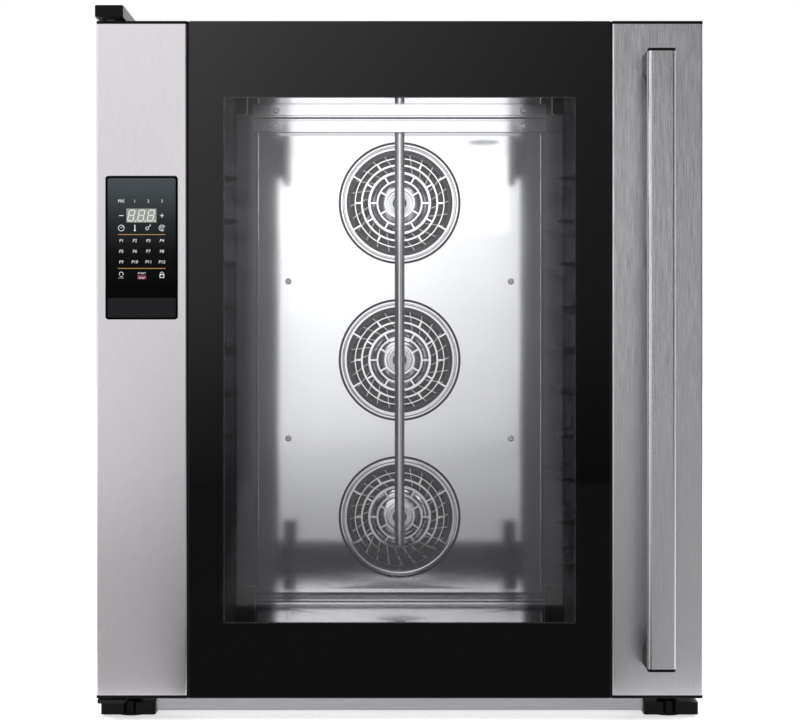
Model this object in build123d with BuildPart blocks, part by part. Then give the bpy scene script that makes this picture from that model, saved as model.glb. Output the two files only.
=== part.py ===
from build123d import *
import os

# Convection oven with ten tray levels, door hinged on the left.
# Frame: X to the right, the front faces -Y, +Z up, origin under the middle
# of the whole object. Distances called depth are measured back from the
# face of the closed door.

# Overall size
overall_width = 800
handle_reach = 67
base_height = 22.5
roof_height = 930

# Sheets
shell_sheet = 1.0
frame_sheet = 1.5
cavity_sheet = 1.2
panel_return = 8

# Door
door_base_gap = 8.5
door_roof_gap = 6
door_thickness = 40
door_gap = 8
column_width = 120
column_corner = 3
cap_thickness = 4
cap_plug = 8
plug_clearance = 0.3
glass_seam = 2
outer_glass_thickness = 6
inner_glass_thickness = 5
inner_glass_lap = 44
window_edge = 26
strip_seam = 0.4
rail_height = 28
led_width = 17
led_thickness = 14
led_margin = 12
led_play = 1
led_corner = 2
glass_bevel = 0.6
strip_play = 0.5
strip_end_play = 1

# Control panel in the left column
panel_width = 96
panel_height = 190
panel_rise = 148
panel_corner = 3
panel_lap = 1
bezel_rim = 2.5
bezel_wall = 1.1
bezel_stand = 1.0
bezel_throat = 5
bezel_bevel = 0.6
control_glass_thickness = 3.6
control_glass_recess = 0.4
control_glass_corner = 2
control_glass_play = 0.2
board_thickness = 1.6
board_margin = 6
board_gap = 5
board_post = 6
chip_rows = 3
chip_height = 23

# Handle
handle_length = 800
handle_inset = 63.5
handle_width = 35.5
handle_thickness = 18
handle_edge = 4.5
handle_wall = 2
handle_cap = 3.5
support_width = 33
support_tall = 36
support_foot = 20
support_edge = 1.5

# Hinge
pivot_inset = 19
pivot_depth = 20
pin_radius = 6
pin_clearance = 0.1
bush_radius = 11
bush_length = 22
collar_play = 0.4
collar_radius = 9
arm_width = 37
arm_rise = 13
arm_door_gap = 3.5
arm_reach = 10
arm_length = 150
arm_flat_length = 100
arm_nose = 6
arm_cap_thickness = 3
arm_cap_corner = 2
arm_roof = 3
arm_side_play = 0.2
arm_notch_play = 0.5
arm_drop_gap = 2
lower_arm_thickness = 5
lower_arm_length = 120

# Cavity
cavity_width = 640
cavity_base_gap = 66
cavity_roof_gap = 64.5
cover_depth = 541
fan_space = 50
drain_radius = 16
drain_wall = 1.5
drain_depth = 300
drain_end_height = 8
spigot_radius = 15
spigot_length = 13
strainer_slot = 4
strainer_slots = 3

# Fans, one above the other
fan_count = 3
fan_margin = 134.5
guard_rings = (
    (95.7, 97.9, 0),
    (72.7, 85.8, 30),
    (62.5, 71.1, 0),
    (50.9, 59.6, 30),
    (37.1, 47, 0),
    (24.2, 34.5, 30),
)
guard_bridges = 6
guard_bridge = 2.7
guard_eye = 21.3
wheel_depth = 40
wheel_plate = 1.5
wheel_gap = 6
wheel_play = 11
wheel_ring = 12
blade_count = 24
blade_length = 41
blade_thickness = 1.2
blade_lean = 22
blade_end_gap = 1
hub_radius = 18
hub_front = 2
shaft_radius = 6
shaft_clearance = 0.4
shaft_length_in_motor = 40
shaft_end_play = 2
wall_hole_radius = 9

# Fan cover
cover_side_gap = 90
cover_gap = 0.6
cover_corner = 6
cover_fold = 2.5
cover_screw_inset = 50
strip_stand = 22
strip_overhang = 5
strip_top_height = 23
strip_bottom_height = 15
strip_screw_inset = 37
screw_head_radius = 5
screw_head_height = 2.6
screw_radius = 2.5
screw_length = 8
screw_clearance = 0.2
screw_head_taper = 18

# Motors behind the cavity
motor_radius = 48
motor_length = 84
motor_flange = 108
motor_flange_thickness = 3
motor_flange_corner = 8
standoff_pitch = 90
standoff_width = 8
standoff_clearance = 1

# Ring heating elements round the fans
element_gap = 20.5
element_tube = 4
element_sides = 6
element_mouth = 8
element_setback = 28
element_tail = 18
element_clearance = 1.5

# Steam pipe in front of the fan cover
steam_pipe_radius = 8
steam_pipe_wall = 1
steam_pipe_gap = 2
steam_pipe_end = 178
steam_joint_rise = 24
steam_joint_radius = 9.5
steam_joint_length = 6
steam_pipe_rise = 17
steam_pipe_clearance = 0.6

# Tray racks on the side walls
tray_levels = 10
tray_pitch = 75
first_tray = 122
rack_front_inset = 82
rack_rear_inset = 131
rack_bar_width = 40
rack_bar = 2
rack_end_gap = 12
tray_gap = 18
tongue_reach = 28
tongue_length = 18
tongue_lip = 3
tongue_drop = 12
shoulder_rise = 7
shoulder_slope = 2

# Gasket
gasket_offset = 6
gasket_width = 12
gasket_corner = 24
gasket_crown = 2.5
gasket_play = 0.3

# Base
foot_length = 73
foot_width = 64
foot_front_depth = 36
foot_top = 19
pad_height = 2.5
pad_radius = 20.5
foot_boss_radius = 13
foot_scoop_radius = 8
foot_scoop_x = 39
foot_round = 4
foot_boss_gap = 6
skirt_inset = 50
skirt_bottom = 6
skirt_lip = 4
skirt_play = 0.4

# Roof outlet
exhaust_radius = 30
exhaust_wall = 1.5
exhaust_rise = 22
exhaust_x = 150
exhaust_inset = 300
exhaust_flange = 8
exhaust_clearance = 1

# Rear panel and what comes through it
motor_rear_gap = 3.8
vent_slots = 7
vent_pitch = 14
vent_length = 90
vent_height = 4
vent_inset = 90
vent_heights = (200, 740)
inlet_inset = 80
inlet_reach = 19
inlet_z = 110
inlet_radius = 13.2
inlet_bore = 8
fitting_clearance = 0.3
inlet_nut_radius = 18
inlet_nut_thickness = 6
nut_sides = 6
thread_chamfer = 1
gland_inset = 80
gland_z = 110
gland_radius = 12
gland_bore = 7
gland_reach = 15
gland_inside = 12
gland_nut_radius = 16
gland_chamfer = 2
valve_length = 42
valve_width = 36
coil_radius = 16
coil_height = 30

# Insulation
insulation_side = 40
insulation_flat = 40
insulation_back = 40
insulation_play = 0.5

# Power board in the left bay
power_board_depth = 240
power_board_height = 300
power_board_start = 470
power_board_bottom = 320
power_board_gap = 8
heat_sink = 60
sink_rise = 24
sink_columns = 2
sink_rows = 3

# Roller catch behind the right of the front frame
strike_inset = 48
strike_width = 20
strike_plate_width = 24
strike_plate_height = 60
strike_plate = 2
strike_neck = 3
strike_head = 6
strike_reach = 36
roller_radius = 7
roller_height = 17
roller_pin_radius = 2.5
roller_gap = 1.5
roller_depth = 62
catch_arm_length = 32
catch_cheek = 2
catch_cheek_width = 10
catch_play = 0.4
catch_pin_radius = 3
catch_hub_radius = 6
catch_ear = 2
catch_plate_gap = 14
catch_foot = 10
slot_margin = 6
slot_corner = 3
strike_taper = 7
strike_nose = 8.5

os.makedirs("parts", exist_ok=True)

# Planes and places that follow from the sizes above
half_width = overall_width / 2
frame_depth = door_thickness + door_gap
cavity_start = frame_depth + frame_sheet
roof_underside = roof_height - shell_sheet
exhaust_top = roof_height + exhaust_rise
bottom_plate_top = base_height + frame_sheet
door_bottom = base_height + door_base_gap
door_top = roof_height - door_roof_gap
arm_top = roof_height + arm_rise
arm_underside = door_top + arm_door_gap
cavity_floor_height = base_height + cavity_base_gap
cavity_top = roof_height - cavity_roof_gap
cavity_height = cavity_top - cavity_floor_height
cavity_middle = (cavity_floor_height + cavity_top) / 2
cavity_half = cavity_width / 2
column_inner_x = half_width - column_width
glass_half = column_inner_x - glass_seam
inner_glass_half = column_inner_x - led_width - led_play
window_half = inner_glass_half - inner_glass_lap
window_low = cavity_floor_height + window_edge
window_high = cavity_top - window_edge
panel_x = column_width / 2 - half_width
panel_middle = cavity_middle + panel_rise
handle_middle_x = half_width - handle_inset
handle_bottom = cavity_middle - handle_length / 2
pivot_x = pivot_inset - half_width
fan_spacing = (cavity_height - 2 * fan_margin) / (fan_count - 1)
fan_heights = [cavity_floor_height + fan_margin + fan_spacing * i for i in range(fan_count)]
fan_names = ("bottom", "middle", "top")
element_radius = fan_spacing / 2 - element_gap
wheel_radius = element_radius - element_tube - wheel_play
cover_half = cavity_half - cover_side_gap
cover_screw_x = cover_half - cover_screw_inset
strip_half = cover_half + strip_overhang
strip_screw_x = strip_half - strip_screw_inset
tray_side = cavity_half - tray_gap
tongue_tip = tray_side - tongue_reach
wheel_back_depth = cover_depth + cavity_sheet + wheel_gap + wheel_depth
back_wall_depth = cover_depth + fan_space
strip_face_depth = cover_depth - strip_stand
element_ring_depth = cover_depth + element_setback
exhaust_depth = cover_depth - exhaust_inset
rack_bar_depths = (frame_depth + rack_front_inset, cover_depth - rack_rear_inset)
insulation_back_end = back_wall_depth + cavity_sheet + insulation_play + insulation_back
motor_front_depth = insulation_back_end + insulation_play
motor_back_depth = motor_front_depth + motor_flange_thickness + motor_length
rear_panel_depth = motor_back_depth + motor_rear_gap + shell_sheet
body_depth = rear_panel_depth + inlet_reach
steam_pipe_depth = cover_depth - steam_pipe_gap - steam_pipe_radius
inlet_x = half_width - inlet_inset
gland_x = gland_inset - half_width
vent_x = half_width - vent_inset
strike_x = half_width - strike_inset
roller_x = strike_x + strike_head + roller_gap + roller_radius
catch_pivot_depth = roller_depth + catch_arm_length
face_y = handle_reach - (body_depth + handle_reach) / 2


def behind(depth):
    """Y of a point this far behind the door face."""
    return face_y + depth


def facing(depth):
    """Plane that faces the front at this depth: x across, y up, normal forward."""
    return Plane.XZ.offset(-behind(depth))


def between(low, high):
    """Middle and length of a stretch."""
    return (low + high) / 2, high - low


def keep(builder, name):
    """Label the finished piece and write its file."""
    builder.part.label = name
    export_step(builder.part, "parts/" + name + ".step")


# Door columns: closed folded profiles that stand on each side of the glass
for side, name in ((-1, "door_left_column"), (1, "door_right_column")):
    with BuildPart() as column:
        with BuildSketch(Plane.XY.offset(door_bottom + cap_thickness)):
            with Locations((side * (half_width - column_width / 2), behind(door_thickness / 2))):
                RectangleRounded(column_width, door_thickness, column_corner)
                RectangleRounded(
                    column_width - 2 * frame_sheet,
                    door_thickness - 2 * frame_sheet,
                    column_corner - frame_sheet,
                    mode=Mode.SUBTRACT,
                )
        extrude(amount=door_top - door_bottom - 2 * cap_thickness)
        if side < 0:
            # opening that the control panel sits in
            with BuildSketch(facing(frame_sheet)):
                with Locations((panel_x, panel_middle)):
                    RectangleRounded(panel_width - 2 * panel_lap, panel_height - 2 * panel_lap, panel_corner)
            extrude(amount=frame_sheet, mode=Mode.SUBTRACT)
    keep(column, name)

# End caps that plug into the columns; the left ones are bored for the hinge pins
with BuildPart() as caps:
    for side in (-1, 1):
        column_x = side * (half_width - column_width / 2)
        for end, height in ((1, door_top), (-1, door_bottom)):
            plate = Plane.XY.offset(height - end * cap_thickness)
            with BuildSketch(plate):
                with Locations((column_x, behind(door_thickness / 2))):
                    RectangleRounded(column_width, door_thickness, column_corner)
            extrude(amount=end * cap_thickness)
            with BuildSketch(plate):
                with Locations((column_x, behind(door_thickness / 2))):
                    Rectangle(
                        column_width - 2 * (frame_sheet + column_corner),
                        door_thickness - 2 * (frame_sheet + plug_clearance),
                    )
                if side < 0:
                    with Locations((pivot_x, behind(pivot_depth))):
                        Circle(bush_radius + plug_clearance, mode=Mode.SUBTRACT)
            extrude(amount=-end * cap_plug)
            if side < 0:
                with BuildSketch(plate):
                    with Locations((pivot_x, behind(pivot_depth))):
                        Circle(pin_radius + pin_clearance)
                extrude(amount=end * cap_thickness, mode=Mode.SUBTRACT)
keep(caps, "column_caps")

# Bushes that the hinge pins turn in
with BuildPart() as bushes:
    for start in (door_top - cap_thickness - bush_length, door_bottom + cap_thickness):
        with BuildSketch(Plane.XY.offset(start)):
            with Locations((pivot_x, behind(pivot_depth))):
                Circle(bush_radius)
                Circle(pin_radius + pin_clearance, mode=Mode.SUBTRACT)
        extrude(amount=bush_length)
keep(bushes, "hinge_bushes")

# Cross rails that tie the columns together behind the glass
rail_back_depth = door_thickness - inner_glass_thickness - frame_sheet
for name, bottom in (
    ("door_top_rail", door_top - rail_height - cap_thickness),
    ("door_bottom_rail", door_bottom + cap_thickness),
):
    with BuildPart() as rail:
        with BuildSketch(Plane.YZ.offset(-column_inner_x)):
            middle, span = between(outer_glass_thickness, rail_back_depth)
            with Locations((behind(middle), bottom + rail_height / 2)):
                RectangleRounded(span, rail_height, frame_sheet)
                Rectangle(
                    span - 2 * frame_sheet,
                    rail_height - 2 * frame_sheet,
                    mode=Mode.SUBTRACT,
                )
        extrude(amount=2 * column_inner_x)
    keep(rail, name)

# Outer glass, flush with the columns
with BuildPart() as outer_glass:
    with BuildSketch(facing(outer_glass_thickness)):
        middle, span = between(door_bottom, door_top)
        with Locations((0, middle)):
            RectangleRounded(2 * glass_half, span, glass_seam)
    extrude(amount=outer_glass_thickness)
    chamfer(outer_glass.faces().sort_by(Axis.Y)[0].edges(), glass_bevel)
keep(outer_glass, "door_outer_glass")

# Inner glass, larger than the window it closes
inner_glass_back = door_thickness - frame_sheet - inner_glass_thickness
with BuildPart() as inner_glass:
    with BuildSketch(facing(inner_glass_back)):
        with Locations((0, cavity_middle)):
            RectangleRounded(
                2 * inner_glass_half, window_high - window_low + 2 * inner_glass_lap, panel_corner
            )
    extrude(amount=inner_glass_thickness)
keep(inner_glass, "door_inner_glass")

# Four folded strips that form the inside of the door and clamp the inner glass
strip_edge_x = column_inner_x - strip_play
with BuildPart() as clamp_strips:
    for side in (-1, 1):
        with BuildSketch(Plane.XY.offset(door_bottom + strip_end_play)):
            with BuildLine():
                near = side * window_half
                far = side * strip_edge_x
                back = behind(door_thickness)
                Polyline(
                    (near, behind(inner_glass_back)),
                    (near, back),
                    (far, back),
                    (far, back - frame_sheet),
                    (near + side * frame_sheet, back - frame_sheet),
                    (near + side * frame_sheet, behind(inner_glass_back)),
                    close=True,
                )
            make_face()
        extrude(amount=door_top - door_bottom - 2 * strip_end_play)
    for near, far, way in (
        (window_low, door_bottom + strip_end_play, -1),
        (window_high, door_top - strip_end_play, 1),
    ):
        with BuildSketch(Plane.YZ.offset(strip_seam - window_half)):
            with BuildLine():
                back = behind(door_thickness)
                Polyline(
                    (behind(inner_glass_back), near),
                    (back, near),
                    (back, far),
                    (back - frame_sheet, far),
                    (back - frame_sheet, near + way * frame_sheet),
                    (behind(inner_glass_back), near + way * frame_sheet),
                    close=True,
                )
            make_face()
        extrude(amount=2 * (window_half - strip_seam))
keep(clamp_strips, "glass_clamp_strips")

# Light bars between the panes, fixed to the inner sides of the columns
with BuildPart() as led_bars:
    for side in (-1, 1):
        with BuildSketch(Plane.XY.offset(window_low + led_margin)):
            with Locations((side * (column_inner_x - led_width / 2), behind(inner_glass_back / 2))):
                RectangleRounded(led_width, led_thickness, led_corner)
        extrude(amount=window_high - window_low - 2 * led_margin)
keep(led_bars, "led_light_bars")

# Control panel: a bright bezel, the black glass in it and the board behind
glass_width = panel_width - 2 * bezel_rim
glass_height = panel_height - 2 * bezel_rim
with BuildPart() as bezel:
    with BuildSketch(facing(0)):
        with Locations((panel_x, panel_middle)):
            RectangleRounded(panel_width, panel_height, panel_corner)
    extrude(amount=bezel_stand)
    with BuildSketch(facing(0)):
        with Locations((panel_x, panel_middle)):
            RectangleRounded(glass_width + 2 * bezel_wall, glass_height + 2 * bezel_wall, panel_corner)
    extrude(amount=-bezel_throat)
    with BuildSketch(facing(-bezel_stand)):
        with Locations((panel_x, panel_middle)):
            RectangleRounded(glass_width, glass_height, control_glass_corner)
    extrude(amount=-bezel_throat - bezel_stand, mode=Mode.SUBTRACT)
    chamfer(bezel.faces().sort_by(Axis.Y)[0].outer_wire().edges(), bezel_bevel)
keep(bezel, "control_bezel")

control_back = control_glass_thickness + control_glass_recess - bezel_stand
with BuildPart() as control_glass:
    with BuildSketch(facing(control_back)):
        with Locations((panel_x, panel_middle)):
            RectangleRounded(
                glass_width - 2 * control_glass_play,
                glass_height - 2 * control_glass_play,
                control_glass_corner,
            )
    extrude(amount=control_glass_thickness)
keep(control_glass, "control_glass")

board_back = bezel_throat + board_gap + board_thickness
with BuildPart() as board:
    with BuildSketch(facing(board_back)):
        with Locations((panel_x, panel_middle)):
            Rectangle(glass_width - 2 * board_margin, glass_height - 2 * board_margin)
    extrude(amount=board_thickness)
    with BuildSketch(facing(board_back - board_thickness)):
        with Locations((panel_x, panel_middle)):
            with GridLocations(glass_width - 4 * board_margin, glass_height - 4 * board_margin, 2, 2):
                Rectangle(board_post, board_post)
    extrude(amount=board_back - board_thickness - control_back)
    with BuildSketch(facing(board_back)):
        with Locations((panel_x, panel_middle)):
            with GridLocations(0, glass_height / chip_rows, 1, chip_rows):
                Rectangle(glass_width / 2, chip_height)
    extrude(amount=-board_gap)
keep(board, "control_board")

# Handle: a rounded tube on two wedge supports, closed by end caps
handle_top = handle_bottom + handle_length
bar_back = handle_thickness - handle_reach
bar_middle_depth = handle_thickness / 2 - handle_reach
with BuildPart() as bar:
    with BuildSketch(Plane.XY.offset(handle_bottom + handle_cap)):
        with Locations((handle_middle_x, behind(bar_middle_depth))):
            RectangleRounded(handle_width, handle_thickness, handle_edge)
            RectangleRounded(
                handle_width - 2 * handle_wall,
                handle_thickness - 2 * handle_wall,
                handle_edge - handle_wall,
                mode=Mode.SUBTRACT,
            )
    extrude(amount=handle_length - 2 * handle_cap)
keep(bar, "handle_bar")

with BuildPart() as handle_caps:
    for height, way in ((handle_top, -1), (handle_bottom, 1)):
        with BuildSketch(Plane.XY.offset(height)):
            with Locations((handle_middle_x, behind(bar_middle_depth))):
                RectangleRounded(handle_width, handle_thickness, handle_edge)
        extrude(amount=way * handle_cap)
keep(handle_caps, "handle_end_caps")

with BuildPart() as supports:
    for height, way in ((handle_top, -1), (handle_bottom, 1)):
        with BuildSketch(Plane.YZ.offset(handle_middle_x - support_width / 2)):
            with BuildLine():
                Polyline(
                    (behind(bar_back), height),
                    (behind(0), height),
                    (behind(0), height + way * support_foot),
                    (behind(bar_back), height + way * support_tall),
                    close=True,
                )
            make_face()
        extrude(amount=support_width)
    fillet(supports.edges().filter_by(Axis.X).group_by(Axis.Y)[-1], support_edge)
keep(supports, "handle_supports")

# Front frame of the cabinet: two stiles and two rails round the cavity mouth
frame_half = half_width - shell_sheet
with BuildPart() as front_frame:
    for side in (-1, 1):
        with BuildSketch(facing(cavity_start)):
            middle, span = between(cavity_half, frame_half)
            height_middle, height_span = between(bottom_plate_top, roof_underside)
            with Locations((side * middle, height_middle)):
                Rectangle(span, height_span)
            if side < 0:
                # notch for the lower hinge arm
                with Locations((-frame_half + arm_width / 2, bottom_plate_top + lower_arm_thickness / 2)):
                    Rectangle(
                        arm_width + 2 * arm_notch_play,
                        lower_arm_thickness + 2 * arm_notch_play,
                        mode=Mode.SUBTRACT,
                    )
            else:
                # slot that the strike enters
                with Locations((strike_x + roller_gap, cavity_middle)):
                    RectangleRounded(
                        2 * (strike_head + slot_margin),
                        strike_width + 2 * slot_margin,
                        slot_corner,
                        mode=Mode.SUBTRACT,
                    )
        extrude(amount=frame_sheet)
    for low, high in ((bottom_plate_top, cavity_floor_height), (cavity_top, roof_underside)):
        with BuildSketch(facing(cavity_start)):
            middle, span = between(low, high)
            with Locations((0, middle)):
                Rectangle(2 * cavity_half, span)
        extrude(amount=frame_sheet)
keep(front_frame, "front_frame")

# Door gasket: one rubber loop round the cavity mouth
with BuildPart() as gasket:
    with BuildSketch(facing(frame_depth)):
        with Locations((0, cavity_middle)):
            loop_width = cavity_width + 2 * gasket_offset
            loop_height = cavity_height + 2 * gasket_offset
            RectangleRounded(loop_width + 2 * gasket_width, loop_height + 2 * gasket_width, gasket_corner)
            RectangleRounded(loop_width, loop_height, gasket_corner - gasket_width, mode=Mode.SUBTRACT)
    extrude(amount=door_gap - gasket_play)
    chamfer(gasket.faces().sort_by(Axis.Y)[0].edges(), gasket_crown)
keep(gasket, "door_gasket")

# Outer shell: base pan, two side panels, roof and rear panel
with BuildPart() as base_pan:
    with BuildSketch(Plane.XY.offset(base_height)):
        middle, span = between(frame_depth, rear_panel_depth)
        with Locations((0, behind(middle))):
            Rectangle(overall_width, span)
        with Locations((0, behind(drain_depth))):
            Circle(drain_radius + drain_wall, mode=Mode.SUBTRACT)
    extrude(amount=frame_sheet)
keep(base_pan, "base_pan")

for side, name in ((-1, "side_panel_left"), (1, "side_panel_right")):
    with BuildPart() as side_panel:
        with BuildSketch(Plane.XY.offset(bottom_plate_top)):
            with BuildLine():
                outer_x = side * half_width
                inner_x = side * (half_width - shell_sheet)
                return_x = side * (half_width - panel_return)
                front_y = behind(cavity_start)
                rear_y = behind(rear_panel_depth - shell_sheet)
                Polyline(
                    (outer_x, behind(frame_depth)),
                    (outer_x, behind(rear_panel_depth)),
                    (inner_x, behind(rear_panel_depth)),
                    (inner_x, rear_y),
                    (return_x, rear_y),
                    (return_x, rear_y - shell_sheet),
                    (inner_x, rear_y - shell_sheet),
                    (inner_x, front_y + shell_sheet),
                    (return_x, front_y + shell_sheet),
                    (return_x, front_y),
                    (inner_x, front_y),
                    (inner_x, behind(frame_depth)),
                    close=True,
                )
            make_face()
        extrude(amount=roof_underside - bottom_plate_top)
        if side < 0:
            # clearance for the lower hinge arm
            with BuildSketch(Plane.XY.offset(bottom_plate_top)):
                with Locations((-frame_half + panel_return / 2, front_y)):
                    Rectangle(panel_return, 4 * shell_sheet)
            extrude(amount=lower_arm_thickness + arm_notch_play, mode=Mode.SUBTRACT)
    keep(side_panel, name)

with BuildPart() as top_panel:
    with BuildSketch(Plane.XY.offset(roof_underside)):
        middle, span = between(frame_depth, rear_panel_depth)
        with Locations((0, behind(middle))):
            Rectangle(overall_width, span)
        with Locations((exhaust_x, behind(exhaust_depth))):
            Circle(exhaust_radius + exhaust_clearance, mode=Mode.SUBTRACT)
    extrude(amount=shell_sheet)
keep(top_panel, "top_panel")

with BuildPart() as rear_panel:
    with BuildSketch(facing(rear_panel_depth)):
        middle, span = between(bottom_plate_top, roof_underside)
        with Locations((0, middle)):
            Rectangle(2 * frame_half, span)
        for vent_z in vent_heights:
            with Locations((-vent_x, vent_z), (vent_x, vent_z)):
                with GridLocations(0, vent_pitch, 1, vent_slots):
                    Rectangle(vent_length, vent_height, mode=Mode.SUBTRACT)
        with Locations((inlet_x, inlet_z)):
            Circle(inlet_radius + fitting_clearance, mode=Mode.SUBTRACT)
        with Locations((gland_x, gland_z)):
            Circle(gland_radius + fitting_clearance, mode=Mode.SUBTRACT)
    extrude(amount=shell_sheet)
keep(rear_panel, "rear_panel")

# Skirt between the front feet, with a folded lip along its lower edge
with BuildPart() as skirt:
    with BuildSketch(Plane.YZ.offset(skirt_inset - half_width)):
        with BuildLine():
            front_y = behind(frame_depth)
            Polyline(
                (front_y, base_height),
                (front_y, skirt_bottom + skirt_lip),
                (front_y - frame_sheet, skirt_bottom + skirt_lip - frame_sheet),
                (front_y - frame_sheet, skirt_bottom),
                (front_y + 2 * skirt_lip, skirt_bottom),
                (front_y + 2 * skirt_lip, skirt_bottom + frame_sheet),
                (front_y + frame_sheet, skirt_bottom + frame_sheet),
                (front_y + frame_sheet, base_height),
                close=True,
            )
        make_face()
    extrude(amount=overall_width - 2 * skirt_inset)
    # the ends step up over the feet
    with BuildSketch(facing(frame_depth + 3 * skirt_lip)):
        middle, span = between(half_width - foot_length - skirt_play, half_width)
        height_middle, height_span = between(0, foot_top + skirt_play)
        with Locations((-middle, height_middle), (middle, height_middle)):
            Rectangle(span, height_span)
    extrude(amount=4 * skirt_lip, mode=Mode.SUBTRACT)
keep(skirt, "front_skirt")

# Feet: a moulded block with a scoop, a boss up to the base and a pad below
foot_rear_depth = rear_panel_depth - foot_width
with BuildPart() as feet:
    for side in (-1, 1):
        for start_depth, scoop_depth, inward in (
            (foot_front_depth, foot_front_depth, 1),
            (foot_rear_depth, rear_panel_depth, -1),
        ):
            foot_x = side * (half_width - foot_length / 2)
            boss_x = side * (half_width - foot_scoop_x)
            boss_y = behind(scoop_depth + inward * (foot_scoop_radius + foot_boss_radius + foot_boss_gap))
            with BuildSketch(Plane.XY.offset(pad_height)):
                with Locations((foot_x, behind(start_depth + foot_width / 2))):
                    RectangleRounded(foot_length, foot_width, foot_round)
                with Locations((boss_x, behind(scoop_depth))):
                    Circle(foot_scoop_radius, mode=Mode.SUBTRACT)
            extrude(amount=foot_top - pad_height)
            with BuildSketch(Plane.XY):
                with Locations((boss_x, boss_y)):
                    Circle(pad_radius)
            extrude(amount=pad_height)
            with BuildSketch(Plane.XY.offset(foot_top)):
                with Locations((boss_x, boss_y)):
                    Circle(foot_boss_radius)
            extrude(amount=base_height - foot_top)
keep(feet, "feet")

# Hinge arms: the upper one reaches over the door from the roof
arm_front_depth = arm_cap_thickness - arm_reach
with BuildPart() as upper_arm:
    with BuildSketch(Plane.YZ.offset(-half_width)):
        with BuildLine():
            Polyline(
                (behind(arm_front_depth), arm_underside),
                (behind(frame_depth - arm_drop_gap), arm_underside),
                (behind(frame_depth - arm_drop_gap), roof_height),
                (behind(arm_length), roof_height),
                (behind(arm_length), roof_height + arm_nose),
                (behind(arm_flat_length), arm_top),
                (behind(arm_front_depth), arm_top),
                close=True,
            )
        make_face()
    extrude(amount=arm_width)
    with BuildSketch(Plane.XY.offset(arm_underside)):
        with Locations((pivot_x, behind(pivot_depth))):
            Circle(pin_radius)
    extrude(amount=arm_top - arm_underside - arm_roof, mode=Mode.SUBTRACT)
keep(upper_arm, "hinge_arm_top")

with BuildPart() as arm_cap:
    with BuildSketch(facing(arm_front_depth)):
        middle, span = between(arm_underside, arm_top)
        with Locations((arm_width / 2 - half_width, middle)):
            RectangleRounded(arm_width, span, arm_cap_corner)
    extrude(amount=arm_cap_thickness)
keep(arm_cap, "hinge_arm_cap")

with BuildPart() as lower_arm:
    with BuildSketch(Plane.XY.offset(bottom_plate_top)):
        with Locations((arm_width / 2 - frame_half, behind(lower_arm_length / 2))):
            RectangleRounded(arm_width - 2 * arm_side_play, lower_arm_length, panel_corner)
        with Locations((pivot_x, behind(pivot_depth))):
            Circle(pin_radius, mode=Mode.SUBTRACT)
    extrude(amount=lower_arm_thickness)
keep(lower_arm, "hinge_arm_bottom")

with BuildPart() as pins:
    lower_arm_top = bottom_plate_top + lower_arm_thickness
    for start, end, collar, collar_end in (
        (door_top - bush_length, arm_top - arm_roof, arm_underside, door_top + collar_play),
        (bottom_plate_top, door_bottom + bush_length, lower_arm_top, door_bottom - collar_play),
    ):
        with BuildSketch(Plane.XY.offset(start)):
            with Locations((pivot_x, behind(pivot_depth))):
                Circle(pin_radius)
        extrude(amount=end - start)
        with BuildSketch(Plane.XY.offset(collar)):
            with Locations((pivot_x, behind(pivot_depth))):
                Circle(collar_radius)
        extrude(amount=collar_end - collar)
keep(pins, "hinge_pins")

# Cavity walls
cavity_run_middle, cavity_run = between(cavity_start, back_wall_depth)
for side, name in ((-1, "cavity_left_wall"), (1, "cavity_right_wall")):
    with BuildPart() as wall:
        with BuildSketch(Plane.XY.offset(cavity_floor_height)):
            with Locations((side * (cavity_half + cavity_sheet / 2), behind(cavity_run_middle))):
                Rectangle(cavity_sheet, cavity_run)
        extrude(amount=cavity_height)
    keep(wall, name)

with BuildPart() as ceiling:
    with BuildSketch(Plane.XY.offset(cavity_top)):
        with Locations((0, behind(cavity_run_middle))):
            Rectangle(cavity_width + 2 * cavity_sheet, cavity_run)
        with Locations((exhaust_x, behind(exhaust_depth))):
            Circle(exhaust_radius - exhaust_wall, mode=Mode.SUBTRACT)
        with Locations((0, behind(steam_pipe_depth))):
            Circle(steam_pipe_radius + steam_pipe_clearance, mode=Mode.SUBTRACT)
    extrude(amount=cavity_sheet)
keep(ceiling, "cavity_ceiling")

# Floor with a strainer over the drain, and the drain pipe welded below it
with BuildPart() as floor:
    with BuildSketch(Plane.XY.offset(cavity_floor_height - cavity_sheet)):
        with Locations((0, behind(cavity_run_middle))):
            Rectangle(cavity_width + 2 * cavity_sheet, cavity_run)
        with Locations((0, behind(drain_depth))):
            with GridLocations(0, 2 * strainer_slot, 1, strainer_slots):
                Rectangle(drain_radius, strainer_slot, mode=Mode.SUBTRACT)
    extrude(amount=cavity_sheet)
keep(floor, "cavity_floor")

# The pipe's lower end is turned down for a hose
with BuildPart() as drain:
    for start, end, radius in (
        (drain_end_height, drain_end_height + spigot_length, spigot_radius),
        (drain_end_height + spigot_length, cavity_floor_height - cavity_sheet, drain_radius),
    ):
        with BuildSketch(Plane.XY.offset(start)):
            with Locations((0, behind(drain_depth))):
                Circle(radius)
                Circle(drain_radius - drain_wall, mode=Mode.SUBTRACT)
        extrude(amount=end - start)
keep(drain, "drain_pipe")

with BuildPart() as back_wall:
    with BuildSketch(facing(back_wall_depth + cavity_sheet)):
        middle, span = between(cavity_floor_height, cavity_top)
        with Locations((0, middle)):
            Rectangle(cavity_width + 2 * cavity_sheet, span + 2 * cavity_sheet)
        for fan_z in fan_heights:
            with Locations((0, fan_z)):
                Circle(wall_hole_radius, mode=Mode.SUBTRACT)
            with Locations((0, fan_z - element_radius)):
                cut = 2 * (element_tube + element_clearance)
                Rectangle(2 * element_mouth + cut, cut, mode=Mode.SUBTRACT)
    extrude(amount=cavity_sheet)
keep(back_wall, "cavity_back_wall")

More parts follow.
